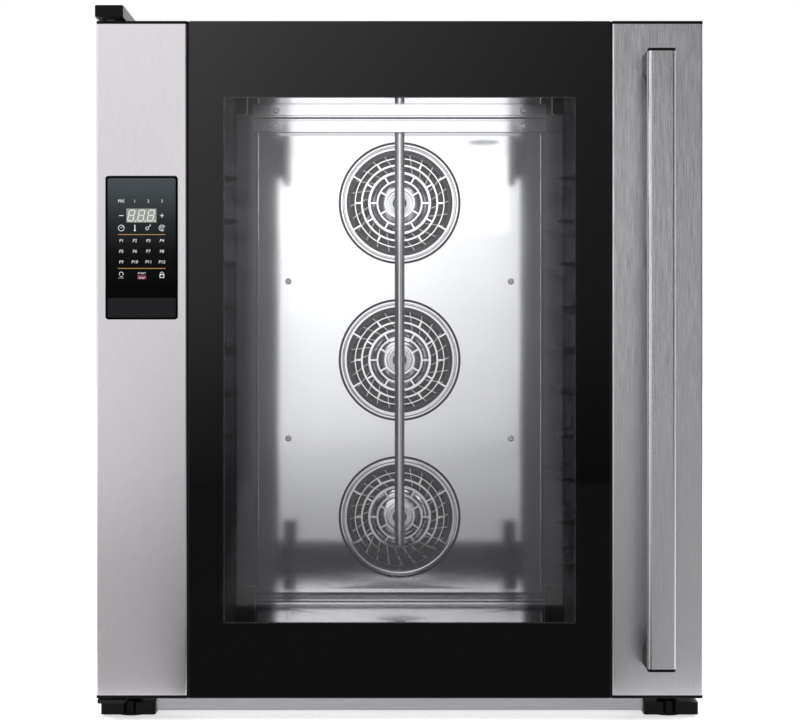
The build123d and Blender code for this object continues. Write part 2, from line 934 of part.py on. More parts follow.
# Fan cover: a pressed sheet with folded sides and three stamped guards
cover_low = cavity_floor_height + cover_gap
cover_high = cavity_top - cover_gap
with BuildPart() as fan_cover:
    with BuildSketch(facing(back_wall_depth - cover_gap)):
        middle, span = between(cover_low, cover_high)
        with Locations((0, middle)):
            RectangleRounded(2 * cover_half, span, cover_corner)
    extrude(amount=back_wall_depth - cover_gap - cover_depth)
    fillet(fan_cover.faces().sort_by(Axis.Y)[0].edges(), cover_fold)
    with BuildSketch(facing(back_wall_depth - cover_gap)):
        with Locations((0, middle)):
            RectangleRounded(
                2 * (cover_half - cavity_sheet), span - 2 * cavity_sheet, cover_corner - cavity_sheet
            )
    extrude(amount=back_wall_depth - cover_gap - cover_depth - cavity_sheet, mode=Mode.SUBTRACT)
    for fan_z in fan_heights:
        with BuildSketch(facing(cover_depth + cavity_sheet)):
            # from the outside in, so that no ring clears the slots inside it
            for inner, outer, phase in guard_rings:
                with Locations((0, fan_z)):
                    Circle(outer)
                    Circle(inner, mode=Mode.SUBTRACT)
                for spoke in range(guard_bridges):
                    angle = phase + spoke * 360 / guard_bridges
                    with Locations((0, fan_z)):
                        with PolarLocations((inner + outer) / 2, 1, angle):
                            Rectangle(outer - inner + guard_bridge, guard_bridge, mode=Mode.SUBTRACT)
            with Locations((0, fan_z)):
                Circle(guard_eye)
        extrude(amount=cavity_sheet, mode=Mode.SUBTRACT)
    with BuildSketch(facing(cover_depth + cavity_sheet)):
        with Locations((0, cavity_middle)):
            with GridLocations(2 * cover_screw_x, fan_spacing, 2, 2):
                Circle(screw_radius + screw_clearance)
    extrude(amount=cavity_sheet, mode=Mode.SUBTRACT)
keep(fan_cover, "fan_cover")

# Strips along the top and bottom of the fan cover, in front of the pipe
strip_top_bottom = cavity_top - cover_gap - strip_top_height
strip_low_top = cavity_floor_height + cover_gap + strip_bottom_height
with BuildPart() as strips:
    for edge, shelf, way in (
        (cavity_top - cover_gap, strip_top_bottom, 1),
        (cavity_floor_height + cover_gap, strip_low_top, -1),
    ):
        with BuildSketch(Plane.YZ.offset(-strip_half)):
            with BuildLine():
                front_y = behind(strip_face_depth)
                Polyline(
                    (front_y, edge),
                    (front_y, shelf),
                    (behind(cover_depth - cover_gap), shelf),
                    (behind(cover_depth - cover_gap), shelf + way * cavity_sheet),
                    (front_y + cavity_sheet, shelf + way * cavity_sheet),
                    (front_y + cavity_sheet, edge),
                    close=True,
                )
            make_face()
        extrude(amount=2 * strip_half)
    with BuildSketch(Plane.XY.offset(strip_top_bottom)):
        with Locations((0, behind(steam_pipe_depth))):
            Circle(steam_pipe_radius + steam_pipe_clearance)
    extrude(amount=cavity_sheet, mode=Mode.SUBTRACT)
    with BuildSketch(facing(strip_face_depth + cavity_sheet)):
        with Locations((0, cavity_top - cover_gap - strip_top_height / 2)):
            with GridLocations(2 * strip_screw_x, 0, 2, 1):
                Circle(screw_radius + screw_clearance)
    extrude(amount=cavity_sheet, mode=Mode.SUBTRACT)
keep(strips, "cover_strips")

# Screws of the cover and the top strip
with BuildPart() as screws:
    cover_points = [
        (x, cavity_middle + rise)
        for x in (-cover_screw_x, cover_screw_x)
        for rise in (-fan_spacing / 2, fan_spacing / 2)
    ]
    strip_points = [
        (x, cavity_top - cover_gap - strip_top_height / 2) for x in (-strip_screw_x, strip_screw_x)
    ]
    for points, seat_depth in ((cover_points, cover_depth), (strip_points, strip_face_depth)):
        with BuildSketch(facing(seat_depth)):
            with Locations(points):
                Circle(screw_head_radius)
        extrude(amount=screw_head_height, taper=screw_head_taper)
        with BuildSketch(facing(seat_depth + screw_length)):
            with Locations(points):
                Circle(screw_radius)
        extrude(amount=screw_length)
keep(screws, "cover_screws")

# Steam pipe: hangs from the ceiling in front of the guards
pipe_top = cavity_top + steam_pipe_rise
with BuildPart() as pipe:
    with BuildSketch(Plane.XY.offset(steam_pipe_end)):
        with Locations((0, behind(steam_pipe_depth))):
            Circle(steam_pipe_radius)
    extrude(amount=pipe_top - steam_pipe_end)
    with BuildSketch(Plane.XY.offset(steam_pipe_end + steam_joint_rise)):
        with Locations((0, behind(steam_pipe_depth))):
            Circle(steam_joint_radius)
    extrude(amount=steam_joint_length)
    with BuildSketch(Plane.XY.offset(steam_pipe_end)):
        with Locations((0, behind(steam_pipe_depth))):
            Circle(steam_pipe_radius - steam_pipe_wall)
    extrude(amount=pipe_top - steam_pipe_end, mode=Mode.SUBTRACT)
keep(pipe, "steam_pipe")

# Fans: wheels with leaning blades, each on its motor's shaft
for fan_name, fan_z in zip(fan_names, fan_heights):
    with BuildPart() as wheel:
        with BuildSketch(facing(wheel_back_depth)):
            with Locations((0, fan_z)):
                Circle(wheel_radius)
        extrude(amount=wheel_plate)
        with BuildSketch(facing(wheel_back_depth - wheel_plate)):
            with Locations((0, fan_z)):
                with PolarLocations(wheel_radius - blade_length / 2 - blade_end_gap, blade_count):
                    Rectangle(blade_length - 2 * blade_end_gap, blade_thickness, rotation=blade_lean)
        extrude(amount=wheel_depth - 2 * wheel_plate)
        with BuildSketch(facing(wheel_back_depth - wheel_depth + wheel_plate)):
            with Locations((0, fan_z)):
                Circle(wheel_radius)
                Circle(wheel_radius - wheel_ring, mode=Mode.SUBTRACT)
        extrude(amount=wheel_plate)
        with BuildSketch(facing(wheel_back_depth - wheel_plate)):
            with Locations((0, fan_z)):
                Circle(hub_radius)
        extrude(amount=wheel_depth - wheel_plate + hub_front)
        with BuildSketch(facing(wheel_back_depth)):
            with Locations((0, fan_z)):
                Circle(shaft_radius)
        extrude(amount=wheel_back_depth - motor_front_depth - shaft_length_in_motor)
    keep(wheel, "fan_wheel_" + fan_name)

    # Motor on four standoffs that reach the cavity's back wall
    with BuildPart() as motor:
        with BuildSketch(facing(motor_front_depth + motor_flange_thickness)):
            with Locations((0, fan_z)):
                RectangleRounded(motor_flange, motor_flange, motor_flange_corner)
        extrude(amount=motor_flange_thickness)
        with BuildSketch(facing(motor_front_depth)):
            with Locations((0, fan_z)):
                with GridLocations(standoff_pitch, standoff_pitch, 2, 2):
                    Rectangle(standoff_width, standoff_width)
        extrude(amount=motor_front_depth - back_wall_depth - cavity_sheet)
        with BuildSketch(facing(motor_front_depth + motor_flange_thickness)):
            with Locations((0, fan_z)):
                Circle(motor_radius)
        extrude(amount=-motor_length)
        with BuildSketch(facing(motor_front_depth)):
            with Locations((0, fan_z)):
                Circle(shaft_radius + shaft_clearance)
        extrude(amount=-shaft_length_in_motor - shaft_end_play, mode=Mode.SUBTRACT)
    keep(motor, "fan_motor_" + fan_name)

    # Heating element: a ring round the wheel with two tails through the wall
    with BuildPart() as element:
        middle_plane = Plane(
            origin=(0, behind(element_ring_depth), fan_z), x_dir=(0, 1, 0), z_dir=(1, 0, 0)
        )
        with BuildSketch(middle_plane):
            with Locations((0, element_radius)):
                RegularPolygon(element_tube, element_sides)
        ring_axis = Axis((0, behind(element_ring_depth), fan_z), (0, 1, 0))
        revolve(axis=ring_axis, revolution_arc=360)
        with BuildSketch(facing(element_ring_depth)):
            with Locations((0, fan_z - element_radius)):
                with GridLocations(2 * element_mouth, 0, 2, 1):
                    RegularPolygon(element_tube, element_sides)
        extrude(amount=element_ring_depth - back_wall_depth - element_tail)
    keep(element, "heating_element_" + fan_name)

# Tray racks: two upright bars a side with a hooked tongue for each tray level
rack_low = cavity_floor_height + rack_end_gap
rack_high = cavity_top - rack_end_gap
bar_face = cavity_half - rack_bar
for side, name in ((-1, "tray_rack_left"), (1, "tray_rack_right")):
    with BuildPart() as rack:
        for bar_depth in rack_bar_depths:
            with BuildSketch(Plane.XY.offset(rack_low)):
                with Locations((side * (cavity_half - rack_bar / 2), behind(bar_depth))):
                    Rectangle(rack_bar, rack_bar_width)
            extrude(amount=rack_high - rack_low)
            with BuildSketch(facing(bar_depth + tongue_length / 2)):
                for level in range(tray_levels):
                    shelf = first_tray + level * tray_pitch
                    with BuildLine():
                        Polyline(
                            (side * bar_face, shelf + shoulder_rise),
                            (side * tray_side, shelf + shoulder_rise - shoulder_slope),
                            (side * tray_side, shelf),
                            (side * tongue_tip, shelf),
                            (side * tongue_tip, shelf - tongue_lip),
                            (side * bar_face, shelf - tongue_drop),
                            close=True,
                        )
                    make_face()
            extrude(amount=tongue_length)
    keep(rack, name)

# Roof outlet for steam: a tube with a flange on the cavity ceiling
with BuildPart() as exhaust:
    with BuildSketch(Plane.XY.offset(cavity_top + cavity_sheet)):
        with Locations((exhaust_x, behind(exhaust_depth))):
            Circle(exhaust_radius)
    extrude(amount=exhaust_top - cavity_top - cavity_sheet)
    with BuildSketch(Plane.XY.offset(cavity_top + cavity_sheet)):
        with Locations((exhaust_x, behind(exhaust_depth))):
            Circle(exhaust_radius + exhaust_flange)
    extrude(amount=cavity_sheet)
    with BuildSketch(Plane.XY.offset(cavity_top + cavity_sheet)):
        with Locations((exhaust_x, behind(exhaust_depth))):
            Circle(exhaust_radius - exhaust_wall)
    extrude(amount=exhaust_top - cavity_top - cavity_sheet, mode=Mode.SUBTRACT)
keep(exhaust, "exhaust_outlet")

# Insulation slabs round the cavity
insulation_low = cavity_floor_height - cavity_sheet - insulation_play - insulation_flat
insulation_high = cavity_top + cavity_sheet + insulation_play + insulation_flat
slab_x = cavity_half + cavity_sheet + insulation_play
with BuildPart() as insulation:
    middle, span = between(cavity_start + insulation_play, back_wall_depth)
    for side in (-1, 1):
        with BuildSketch(Plane.XY.offset(insulation_low)):
            with Locations((side * (slab_x + insulation_side / 2), behind(middle))):
                Rectangle(insulation_side, span)
        extrude(amount=insulation_high - insulation_low)
    # pocket that the strike and the catch work in
    pocket_depth = catch_pivot_depth + catch_hub_radius + slot_margin
    with BuildSketch(facing(pocket_depth)):
        pocket_middle, pocket_width = between(
            strike_x - strike_head - slot_margin, slab_x + insulation_side
        )
        with Locations((pocket_middle, cavity_middle)):
            Rectangle(pocket_width, strike_plate_height)
    extrude(amount=pocket_depth - cavity_start, mode=Mode.SUBTRACT)
    with BuildSketch(Plane.XY.offset(insulation_low)):
        with Locations((0, behind(middle))):
            Rectangle(2 * (slab_x - insulation_play), span)
        with Locations((0, behind(drain_depth))):
            Circle(drain_radius + insulation_play, mode=Mode.SUBTRACT)
    extrude(amount=insulation_flat)
    with BuildSketch(Plane.XY.offset(insulation_high - insulation_flat)):
        with Locations((0, behind(middle))):
            Rectangle(2 * (slab_x - insulation_play), span)
        with Locations((exhaust_x, behind(exhaust_depth))):
            Circle(exhaust_radius + exhaust_flange + insulation_play, mode=Mode.SUBTRACT)
        with Locations((0, behind(steam_pipe_depth))):
            Circle(steam_pipe_radius + insulation_play, mode=Mode.SUBTRACT)
    extrude(amount=insulation_flat)
    with BuildSketch(facing(insulation_back_end)):
        middle, span = between(cavity_floor_height, cavity_top)
        with Locations((0, middle)):
            Rectangle(2 * slab_x, span)
        for fan_z in fan_heights:
            with Locations((0, fan_z)):
                Rectangle(2 * wall_hole_radius, 2 * wall_hole_radius, mode=Mode.SUBTRACT)
                with GridLocations(standoff_pitch, standoff_pitch, 2, 2):
                    cut = standoff_width + 2 * standoff_clearance
                    Rectangle(cut, cut, mode=Mode.SUBTRACT)
            with Locations((0, fan_z - element_radius)):
                cut = 2 * (element_tube + element_clearance)
                Rectangle(2 * element_mouth + cut, cut, mode=Mode.SUBTRACT)
    extrude(amount=insulation_back)
keep(insulation, "insulation")

# Water inlet: a threaded nipple with its nut on the rear panel
with BuildPart() as inlet:
    with BuildSketch(facing(body_depth)):
        with Locations((inlet_x, inlet_z)):
            Circle(inlet_radius)
            Circle(inlet_bore, mode=Mode.SUBTRACT)
    extrude(amount=body_depth - rear_panel_depth + shell_sheet + inlet_nut_thickness)
    with BuildSketch(facing(rear_panel_depth + inlet_nut_thickness)):
        with Locations((inlet_x, inlet_z)):
            RegularPolygon(inlet_nut_radius, nut_sides)
            Circle(inlet_radius, mode=Mode.SUBTRACT)
    extrude(amount=inlet_nut_thickness)
    chamfer(inlet.faces().sort_by(Axis.Y)[-1].outer_wire().edges(), thread_chamfer)
keep(inlet, "water_inlet")

valve_back = rear_panel_depth - shell_sheet - inlet_nut_thickness
with BuildPart() as valve:
    with BuildSketch(facing(valve_back)):
        with Locations((inlet_x, inlet_z)):
            RectangleRounded(valve_width, valve_width, panel_corner)
    extrude(amount=valve_length)
    with BuildSketch(Plane.XY.offset(inlet_z + valve_width / 2)):
        with Locations((inlet_x, behind(valve_back - valve_length / 2))):
            Circle(coil_radius)
    extrude(amount=coil_height)
keep(valve, "water_valve")

# Cable gland in the rear panel
with BuildPart() as gland:
    with BuildSketch(facing(rear_panel_depth + gland_reach)):
        with Locations((gland_x, gland_z)):
            Circle(gland_radius)
            Circle(gland_bore, mode=Mode.SUBTRACT)
    extrude(amount=gland_reach + gland_inside)
    with BuildSketch(facing(rear_panel_depth + inlet_nut_thickness)):
        with Locations((gland_x, gland_z)):
            RegularPolygon(gland_nut_radius, nut_sides)
            Circle(gland_radius, mode=Mode.SUBTRACT)
    extrude(amount=inlet_nut_thickness)
    chamfer(gland.faces().sort_by(Axis.Y)[-1].outer_wire().edges(), gland_chamfer)
keep(gland, "cable_gland")

# Power board on the left side panel, with its heat sink and relays
board_x = -half_width + shell_sheet
with BuildPart() as power_board:
    with BuildSketch(Plane.YZ.offset(board_x + power_board_gap)):
        with Locations(
            (behind(power_board_start + power_board_depth / 2), power_board_bottom + power_board_height / 2)
        ):
            Rectangle(power_board_depth, power_board_height)
    extrude(amount=board_thickness)
    with BuildSketch(Plane.YZ.offset(board_x + power_board_gap)):
        with Locations(
            (behind(power_board_start + power_board_depth / 2), power_board_bottom + power_board_height / 2)
        ):
            with GridLocations(power_board_depth - heat_sink, power_board_height - heat_sink, 2, 2):
                Rectangle(board_post, board_post)
    extrude(amount=-power_board_gap)
    with BuildSketch(Plane.YZ.offset(board_x + power_board_gap + board_thickness)):
        with Locations(
            (behind(power_board_start + power_board_depth / 2), power_board_bottom + power_board_height / 2)
        ):
            with GridLocations(power_board_depth / 2, power_board_height / 3, sink_columns, sink_rows):
                Rectangle(heat_sink, heat_sink)
    extrude(amount=sink_rise)
keep(power_board, "power_board")

# Strike on the back of the door: a plate with a headed tongue
strike_start = door_thickness + strike_plate
with BuildPart() as strike:
    with BuildSketch(facing(strike_start)):
        with Locations((strike_x, cavity_middle)):
            RectangleRounded(strike_plate_width, strike_plate_height, panel_corner)
    extrude(amount=strike_plate)
    with BuildSketch(Plane.XY.offset(cavity_middle - strike_width / 2)):
        with BuildLine():
            head_start = strike_start + strike_reach - strike_nose - strike_taper
            head_full = strike_start + strike_reach - strike_nose
            Polyline(
                (strike_x - strike_neck, behind(strike_start)),
                (strike_x + strike_neck, behind(strike_start)),
                (strike_x + strike_neck, behind(head_start)),
                (strike_x + strike_head, behind(head_full)),
                (strike_x + strike_neck, behind(strike_start + strike_reach)),
                (strike_x - strike_neck, behind(strike_start + strike_reach)),
                (strike_x - strike_head, behind(head_full)),
                (strike_x - strike_neck, behind(head_start)),
                close=True,
            )
        make_face()
    extrude(amount=strike_width)
keep(strike, "door_strike")

# Catch: a bracket behind the front frame, a swinging arm and its roller
cheek_inner = roller_height / 2 + catch_play
cheek_outer = cheek_inner + catch_cheek
hub_half = cheek_outer + catch_play
ear_outer = hub_half + catch_play + catch_ear
plate_x = roller_x + catch_plate_gap
with BuildPart() as bracket:
    with BuildSketch(Plane.XY.offset(cavity_middle - ear_outer)):
        with BuildLine():
            Polyline(
                (plate_x, behind(cavity_start)),
                (plate_x + catch_foot, behind(cavity_start)),
                (plate_x + catch_foot, behind(cavity_start + catch_ear)),
                (plate_x + catch_ear, behind(cavity_start + catch_ear)),
                (plate_x + catch_ear, behind(catch_pivot_depth + catch_hub_radius + catch_ear)),
                (plate_x, behind(catch_pivot_depth + catch_hub_radius + catch_ear)),
                close=True,
            )
        make_face()
    extrude(amount=2 * ear_outer)
    ear_length = 2 * (catch_hub_radius + catch_ear)
    for start in (cavity_middle - ear_outer, cavity_middle + ear_outer - catch_ear):
        with BuildSketch(Plane.XY.offset(start)):
            middle, span = between(roller_x - catch_hub_radius, plate_x)
            with Locations((middle, behind(catch_pivot_depth))):
                Rectangle(span, ear_length)
        extrude(amount=catch_ear)
    with BuildSketch(Plane.XY.offset(cavity_middle - ear_outer)):
        with Locations((roller_x, behind(catch_pivot_depth))):
            Circle(catch_pin_radius)
    extrude(amount=2 * ear_outer)
keep(bracket, "catch_bracket")

with BuildPart() as arm:
    for start in (cavity_middle - cheek_outer, cavity_middle + cheek_inner):
        with BuildSketch(Plane.XY.offset(start)):
            with Locations((roller_x, behind((roller_depth + catch_pivot_depth) / 2))):
                SlotCenterToCenter(catch_arm_length, catch_cheek_width, rotation=90)
        extrude(amount=catch_cheek)
    with BuildSketch(Plane.XY.offset(cavity_middle - cheek_outer)):
        with Locations((roller_x, behind(roller_depth))):
            Circle(roller_pin_radius)
    extrude(amount=2 * cheek_outer)
    with BuildSketch(Plane.XY.offset(cavity_middle - hub_half)):
        with Locations((roller_x, behind(catch_pivot_depth))):
            Circle(catch_hub_radius)
    extrude(amount=2 * hub_half)
    with BuildSketch(Plane.XY.offset(cavity_middle - hub_half)):
        with Locations((roller_x, behind(catch_pivot_depth))):
            Circle(catch_pin_radius + pin_clearance)
    extrude(amount=2 * hub_half, mode=Mode.SUBTRACT)
keep(arm, "catch_arm")

with BuildPart() as roller:
    with BuildSketch(Plane.XY.offset(cavity_middle - roller_height / 2)):
        with Locations((roller_x, behind(roller_depth))):
            Circle(roller_radius)
            Circle(roller_pin_radius + pin_clearance, mode=Mode.SUBTRACT)
    extrude(amount=roller_height)
keep(roller, "catch_roller")
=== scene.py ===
# %% [markdown]
# # A convection oven, dressed for its portrait
# The engineering model arrives as sixty plain solids in metres. This lesson lights it, gives every solid
# the finish that its real counterpart has, and adds what is too fine for the solids: printing, screw
# recesses, pressed beads.

# %% Load the solids
import math

import bmesh
import bpy
from mathutils import Matrix, Vector


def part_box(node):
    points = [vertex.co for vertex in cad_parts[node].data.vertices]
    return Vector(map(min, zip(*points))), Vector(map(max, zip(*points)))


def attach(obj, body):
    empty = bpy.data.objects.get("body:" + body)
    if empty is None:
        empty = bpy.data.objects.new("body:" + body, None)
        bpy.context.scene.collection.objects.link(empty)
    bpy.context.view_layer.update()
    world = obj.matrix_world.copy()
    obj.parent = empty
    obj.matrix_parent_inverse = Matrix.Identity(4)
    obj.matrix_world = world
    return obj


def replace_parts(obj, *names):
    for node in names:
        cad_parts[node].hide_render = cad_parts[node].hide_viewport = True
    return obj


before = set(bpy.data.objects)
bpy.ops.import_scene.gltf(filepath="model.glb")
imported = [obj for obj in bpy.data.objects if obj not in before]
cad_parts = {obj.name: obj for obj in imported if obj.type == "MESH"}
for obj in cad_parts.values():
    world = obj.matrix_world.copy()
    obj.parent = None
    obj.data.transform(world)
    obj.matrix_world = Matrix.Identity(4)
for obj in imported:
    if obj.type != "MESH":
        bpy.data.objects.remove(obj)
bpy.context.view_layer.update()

# %% [markdown]
# ## Camera
# The front of the oven was photographed square on, with upright edges that stay upright. A camera level
# with the middle of the cavity does that. Its distance comes from how much smaller the fan cover looks than
# the door in front of it.

# %% Camera
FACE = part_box("door_outer_glass")[0].y
CAVITY_MIDDLE = 0.477
CAMERA_AWAY = 2.378
camera = bpy.data.objects.new("camera", bpy.data.cameras.new("camera"))
camera.location = (0, FACE - CAMERA_AWAY, CAVITY_MIDDLE)
camera.rotation_euler = (math.radians(90), 0, 0)
camera.data.lens = 81.18
camera.data.sensor_width = 36
camera.data.shift_x = 0.0005
camera.data.clip_end = 60
bpy.context.scene.collection.objects.link(camera)
bpy.context.scene.camera = camera
bpy.context.scene.view_settings.view_transform = "Standard"
print("camera", tuple(round(v, 4) for v in camera.location), "lens", camera.data.lens)

# %% [markdown]
# ## Sums that become nodes
# A finish is a graph of nodes, and a graph is hard to read as a list of links. Here a wire stands for one
# socket, and ordinary arithmetic on wires adds the Math nodes, so a pattern reads as the sum that it is.


# %% Wires
class Wire:
    """One value inside a node graph."""

    def __init__(self, graph, socket):
        self.graph, self.socket = graph, socket

    def sum(self, operation, *values):
        return self.graph.node("Math", {"operation": operation}, dict(enumerate(values)))

    def __add__(self, other):
        return self.sum("ADD", self, other)

    def __sub__(self, other):
        return self.sum("SUBTRACT", self, other)

    def __rsub__(self, other):
        return self.sum("SUBTRACT", other, self)

    def __mul__(self, other):
        return self.sum("MULTIPLY", self, other)

    def __truediv__(self, other):
        return self.sum("DIVIDE", self, other)

    def __pow__(self, other):
        return self.sum("POWER", self, other)

    def __gt__(self, edge):
        return self.sum("GREATER_THAN", self, edge)

    def __lt__(self, edge):
        return self.sum("LESS_THAN", self, edge)

    def __abs__(self):
        return self.sum("ABSOLUTE", self)

    __radd__ = __add__
    __rmul__ = __mul__

    def most(self, other):
        return self.sum("MAXIMUM", self, other)

    def least(self, other):
        return self.sum("MINIMUM", self, other)

    def repeat(self, pitch):
        """Distance from the middle of each step of a row that repeats at this pitch."""
        return self.sum("PINGPONG", self, pitch / 2)


# %% [markdown]
# One method adds every other kind of node. Settings such as a ramp's stops are made before the sockets are
# filled, because they change which sockets a node has.


# %% Graphs
class Graph:
    """The node graph of a material, a world or a lamp."""

    def __init__(self, owner):
        owner.use_nodes = True
        self.tree = owner.node_tree

    def node(self, kind, settings=None, sockets=None, out=0):
        made = self.tree.nodes.new("ShaderNode" + kind)
        for name, value in (settings or {}).items():
            if name == "stops":
                stops = made.color_ramp.elements
                while len(stops) < len(value):
                    stops.new(1.0)
                for stop, (place, colour) in zip(stops, value):
                    stop.position, stop.color = place, colour
            else:
                setattr(made, name, value)
        for name, value in (sockets or {}).items():
            if isinstance(value, Wire):
                self.tree.links.new(value.socket, made.inputs[name])
            else:
                made.inputs[name].default_value = value
        return Wire(self, made.outputs[out])

    def place(self):
        """Where a point is on the piece, in metres."""
        return self.node("TexCoord", out="Object")

    def axes(self):
        """The same as three separate numbers."""
        first = self.node("SeparateXYZ", {}, {0: self.place()})
        return [Wire(self, socket) for socket in first.socket.node.outputs]

    def stretched(self, x, y, z):
        return self.node("VectorMath", {"operation": "MULTIPLY"}, {0: self.place(), 1: (x, y, z)})

    def noise(self, vector, detail=2.0, roughness=0.5, distortion=0.0):
        sockets = {"Vector": vector, "Scale": 1.0, "Detail": detail}
        return self.node("TexNoise", {}, {**sockets, "Roughness": roughness, "Distortion": distortion})

    def smooth(self, value, low, high, start=0.0, end=1.0):
        """A soft step of a value from start to end."""
        return self.node(
            "MapRange",
            {"interpolation_type": "SMOOTHSTEP"},
            {"Value": value, "From Min": low, "From Max": high, "To Min": start, "To Max": end},
        )

    def spread(self, value, start, end):
        """A noise value from 0 to 1 turned into a range."""
        return self.node("MapRange", {}, {"Value": value, "To Min": start, "To Max": end})

    def ramp(self, value, stops):
        return self.node("ValToRGB", {"stops": stops}, {"Fac": value})

    def mixed(self, share, first, second):
        return self.node("Mix", {"data_type": "RGBA"}, {0: share, 6: first, 7: second}, out=2)


def tone(*parts):
    """The linear colour of a finish, written as screen values from 0 to 255."""
    linear = [p / 255 / 12.92 if p < 10.3 else ((p / 255 + 0.055) / 1.055) ** 2.4 for p in parts]
    return (*(linear * 3 if len(linear) == 1 else linear), 1.0)


# %% [markdown]
# ## The studio
# The oven stands in white space. The world is a plain white that the camera, metal and glass see as it is.
# What the diffuse surfaces receive from it is a little less, so that the soft lamps can give the object a
# light side.


# %% World
def seen_share(graph):
    """One for a ray that somebody looks along, also in a mirror or through glass, and nought for light."""
    rays = graph.node("LightPath", out="Is Camera Ray").socket.node.outputs
    kinds = ("Camera", "Glossy", "Transmission")
    camera_ray, glossy_ray, glass_ray = (Wire(graph, rays[f"Is {kind} Ray"]) for kind in kinds)
    return camera_ray.most(glossy_ray).most(glass_ray)


world = bpy.data.worlds.new("studio")
bpy.context.scene.world = world
sky = Graph(world)
backdrop = sky.tree.nodes["Background"]
backdrop.inputs["Color"].default_value = (1, 1, 1, 1)
sky.tree.links.new(sky.spread(seen_share(sky), 0.72, 1.0).socket, backdrop.inputs["Strength"])
print("world: white backdrop")


# %% [markdown]
# The floor is a pale sheet that keeps the shadow under the feet. It glows a little of its own towards
# whoever looks at it, which is what overexposed white paper does, so that it meets the backdrop without a
# line.


# %% Floor
def flat_sheet(name, width, depth, place, turn=0.0, axis="X"):
    """A level sheet for the studio, turned about an axis."""
    shape = bmesh.new()
    bmesh.ops.create_grid(shape, x_segments=1, y_segments=1, size=0.5)
    rotation = Matrix.Rotation(math.radians(turn), 4, axis)
    matrix = Matrix.Translation(place) @ rotation @ Matrix.Diagonal((width, depth, 1, 1))
    bmesh.ops.transform(shape, matrix=matrix, verts=shape.verts)
    mesh = bpy.data.meshes.new(name)
    shape.to_mesh(mesh)
    shape.free()
    sheet = bpy.data.objects.new(name, mesh)
    bpy.context.scene.collection.objects.link(sheet)
    return sheet


floor = flat_sheet("floor", 60, 60, (0, 0, -0.0005))
paper = bpy.data.materials.new("floor_paper")
paper_graph = Graph(paper)
paper_shader = paper_graph.tree.nodes["Principled BSDF"]
paper_shader.inputs["Base Color"].default_value = (0.92, 0.92, 0.92, 1)
paper_shader.inputs["Roughness"].default_value = 0.9
paper_shader.inputs["Specular IOR Level"].default_value = 0.0
paper_shader.inputs["Emission Strength"].default_value = 1.0
glow = paper_graph.mixed(seen_share(paper_graph), (0, 0, 0, 1), (0.6, 0.6, 0.6, 1))
paper_graph.tree.links.new(glow.socket, paper_shader.inputs["Emission Color"])
floor.data.materials.append(paper)
print("floor", tuple(floor.dimensions))


# %% [markdown]
# Polished steel and black glass show their surroundings, so a studio hangs graded cards where they look.
# They are seen only as reflections, and never by the camera itself.


# %% Card
def reflection_card(name, width, depth, place, turn, paint, axis="X"):
    card = flat_sheet(name, width, depth, place, turn, axis)
    card.visible_camera = card.visible_diffuse = card.visible_shadow = card.visible_volume_scatter = False
    card.visible_transmission = False
    surface = bpy.data.materials.new(name)
    graph = Graph(surface)
    graph.tree.nodes.remove(graph.tree.nodes["Principled BSDF"])
    light = graph.node("Emission", {}, {"Color": (1, 1, 1, 1), "Strength": paint(graph)})
    graph.tree.links.new(light.socket, graph.tree.nodes["Material Output"].inputs["Surface"])
    card.data.materials.append(surface)
    print("card", name)


def greys(*stops):
    """Stops of a ramp, from pairs of a place and a brightness."""
    return [(place, (value, value, value, 1)) for place, value in stops]


# %% [markdown]
# The front card stands behind the camera. A point of the door sees the point of the card that is 2.94 times
# as far from the middle, so the card is painted in the door's own sizes: a fall from left to right and from
# top to bottom for the black glass, a white middle for what the steel behind the window mirrors, and a
# light and a greyer end for the two columns.

# %% Front card
CARD_AWAY = 4.619
MIRRORED = (CAMERA_AWAY + CARD_AWAY) / CAMERA_AWAY


def front_card_paint(graph):
    x, _, z = graph.axes()
    door_x, door_z = x / MIRRORED, (z - CAVITY_MIDDLE) / MIRRORED + CAVITY_MIDDLE
    climb = graph.ramp(door_z, greys((0.30, 0.10), (0.42, 0.26), (0.556, 0.58), (0.754, 0.82), (0.91, 1.08)))
    across = graph.ramp(door_x + 0.5, greys((0.24, 1.0), (0.37, 0.77), (0.60, 0.48), (0.76, 0.31)))
    low = graph.ramp(z, greys((0.0, 0.62), (0.06, 0.68), (0.16, 0.91), (0.5, 1.17), (1.0, 1.62)))
    low = low * graph.smooth(x, -0.35, 0.45, 1.0, 0.76)
    window = graph.smooth(abs(x), 0.56, 0.62, 1.0, 0.0) * graph.smooth(z, 1.42, 1.49, 1.0, 0.0)
    left_light = graph.ramp(door_z, greys((0.32, 0.95), (0.5, 0.94), (0.75, 0.92)))
    left = graph.smooth(door_x, -0.290, -0.279, 1.0, 0.0) * left_light
    corner = graph.smooth(door_x, 0.31, 0.40) * graph.smooth(door_z, 0.80, 0.93)
    right_light = graph.smooth(door_x, 0.32, 0.42, 0.66, 0.40) * (1 - corner * 0.72)
    right = graph.smooth(door_x, 0.279, 0.290) * right_light
    glass = climb * across * graph.smooth(door_x, 0.279, 0.290, 1.0, 0.0)
    return glass.most(window * low).most(left).most(right)


reflection_card("front_card", 8, 5, (0, FACE - CARD_AWAY, 2.5), 90, front_card_paint)


# %% [markdown]
# The floor card lies between the oven and the front card. The polished steel sees its middle, which widens
# away from the oven, and each column sees its own side.


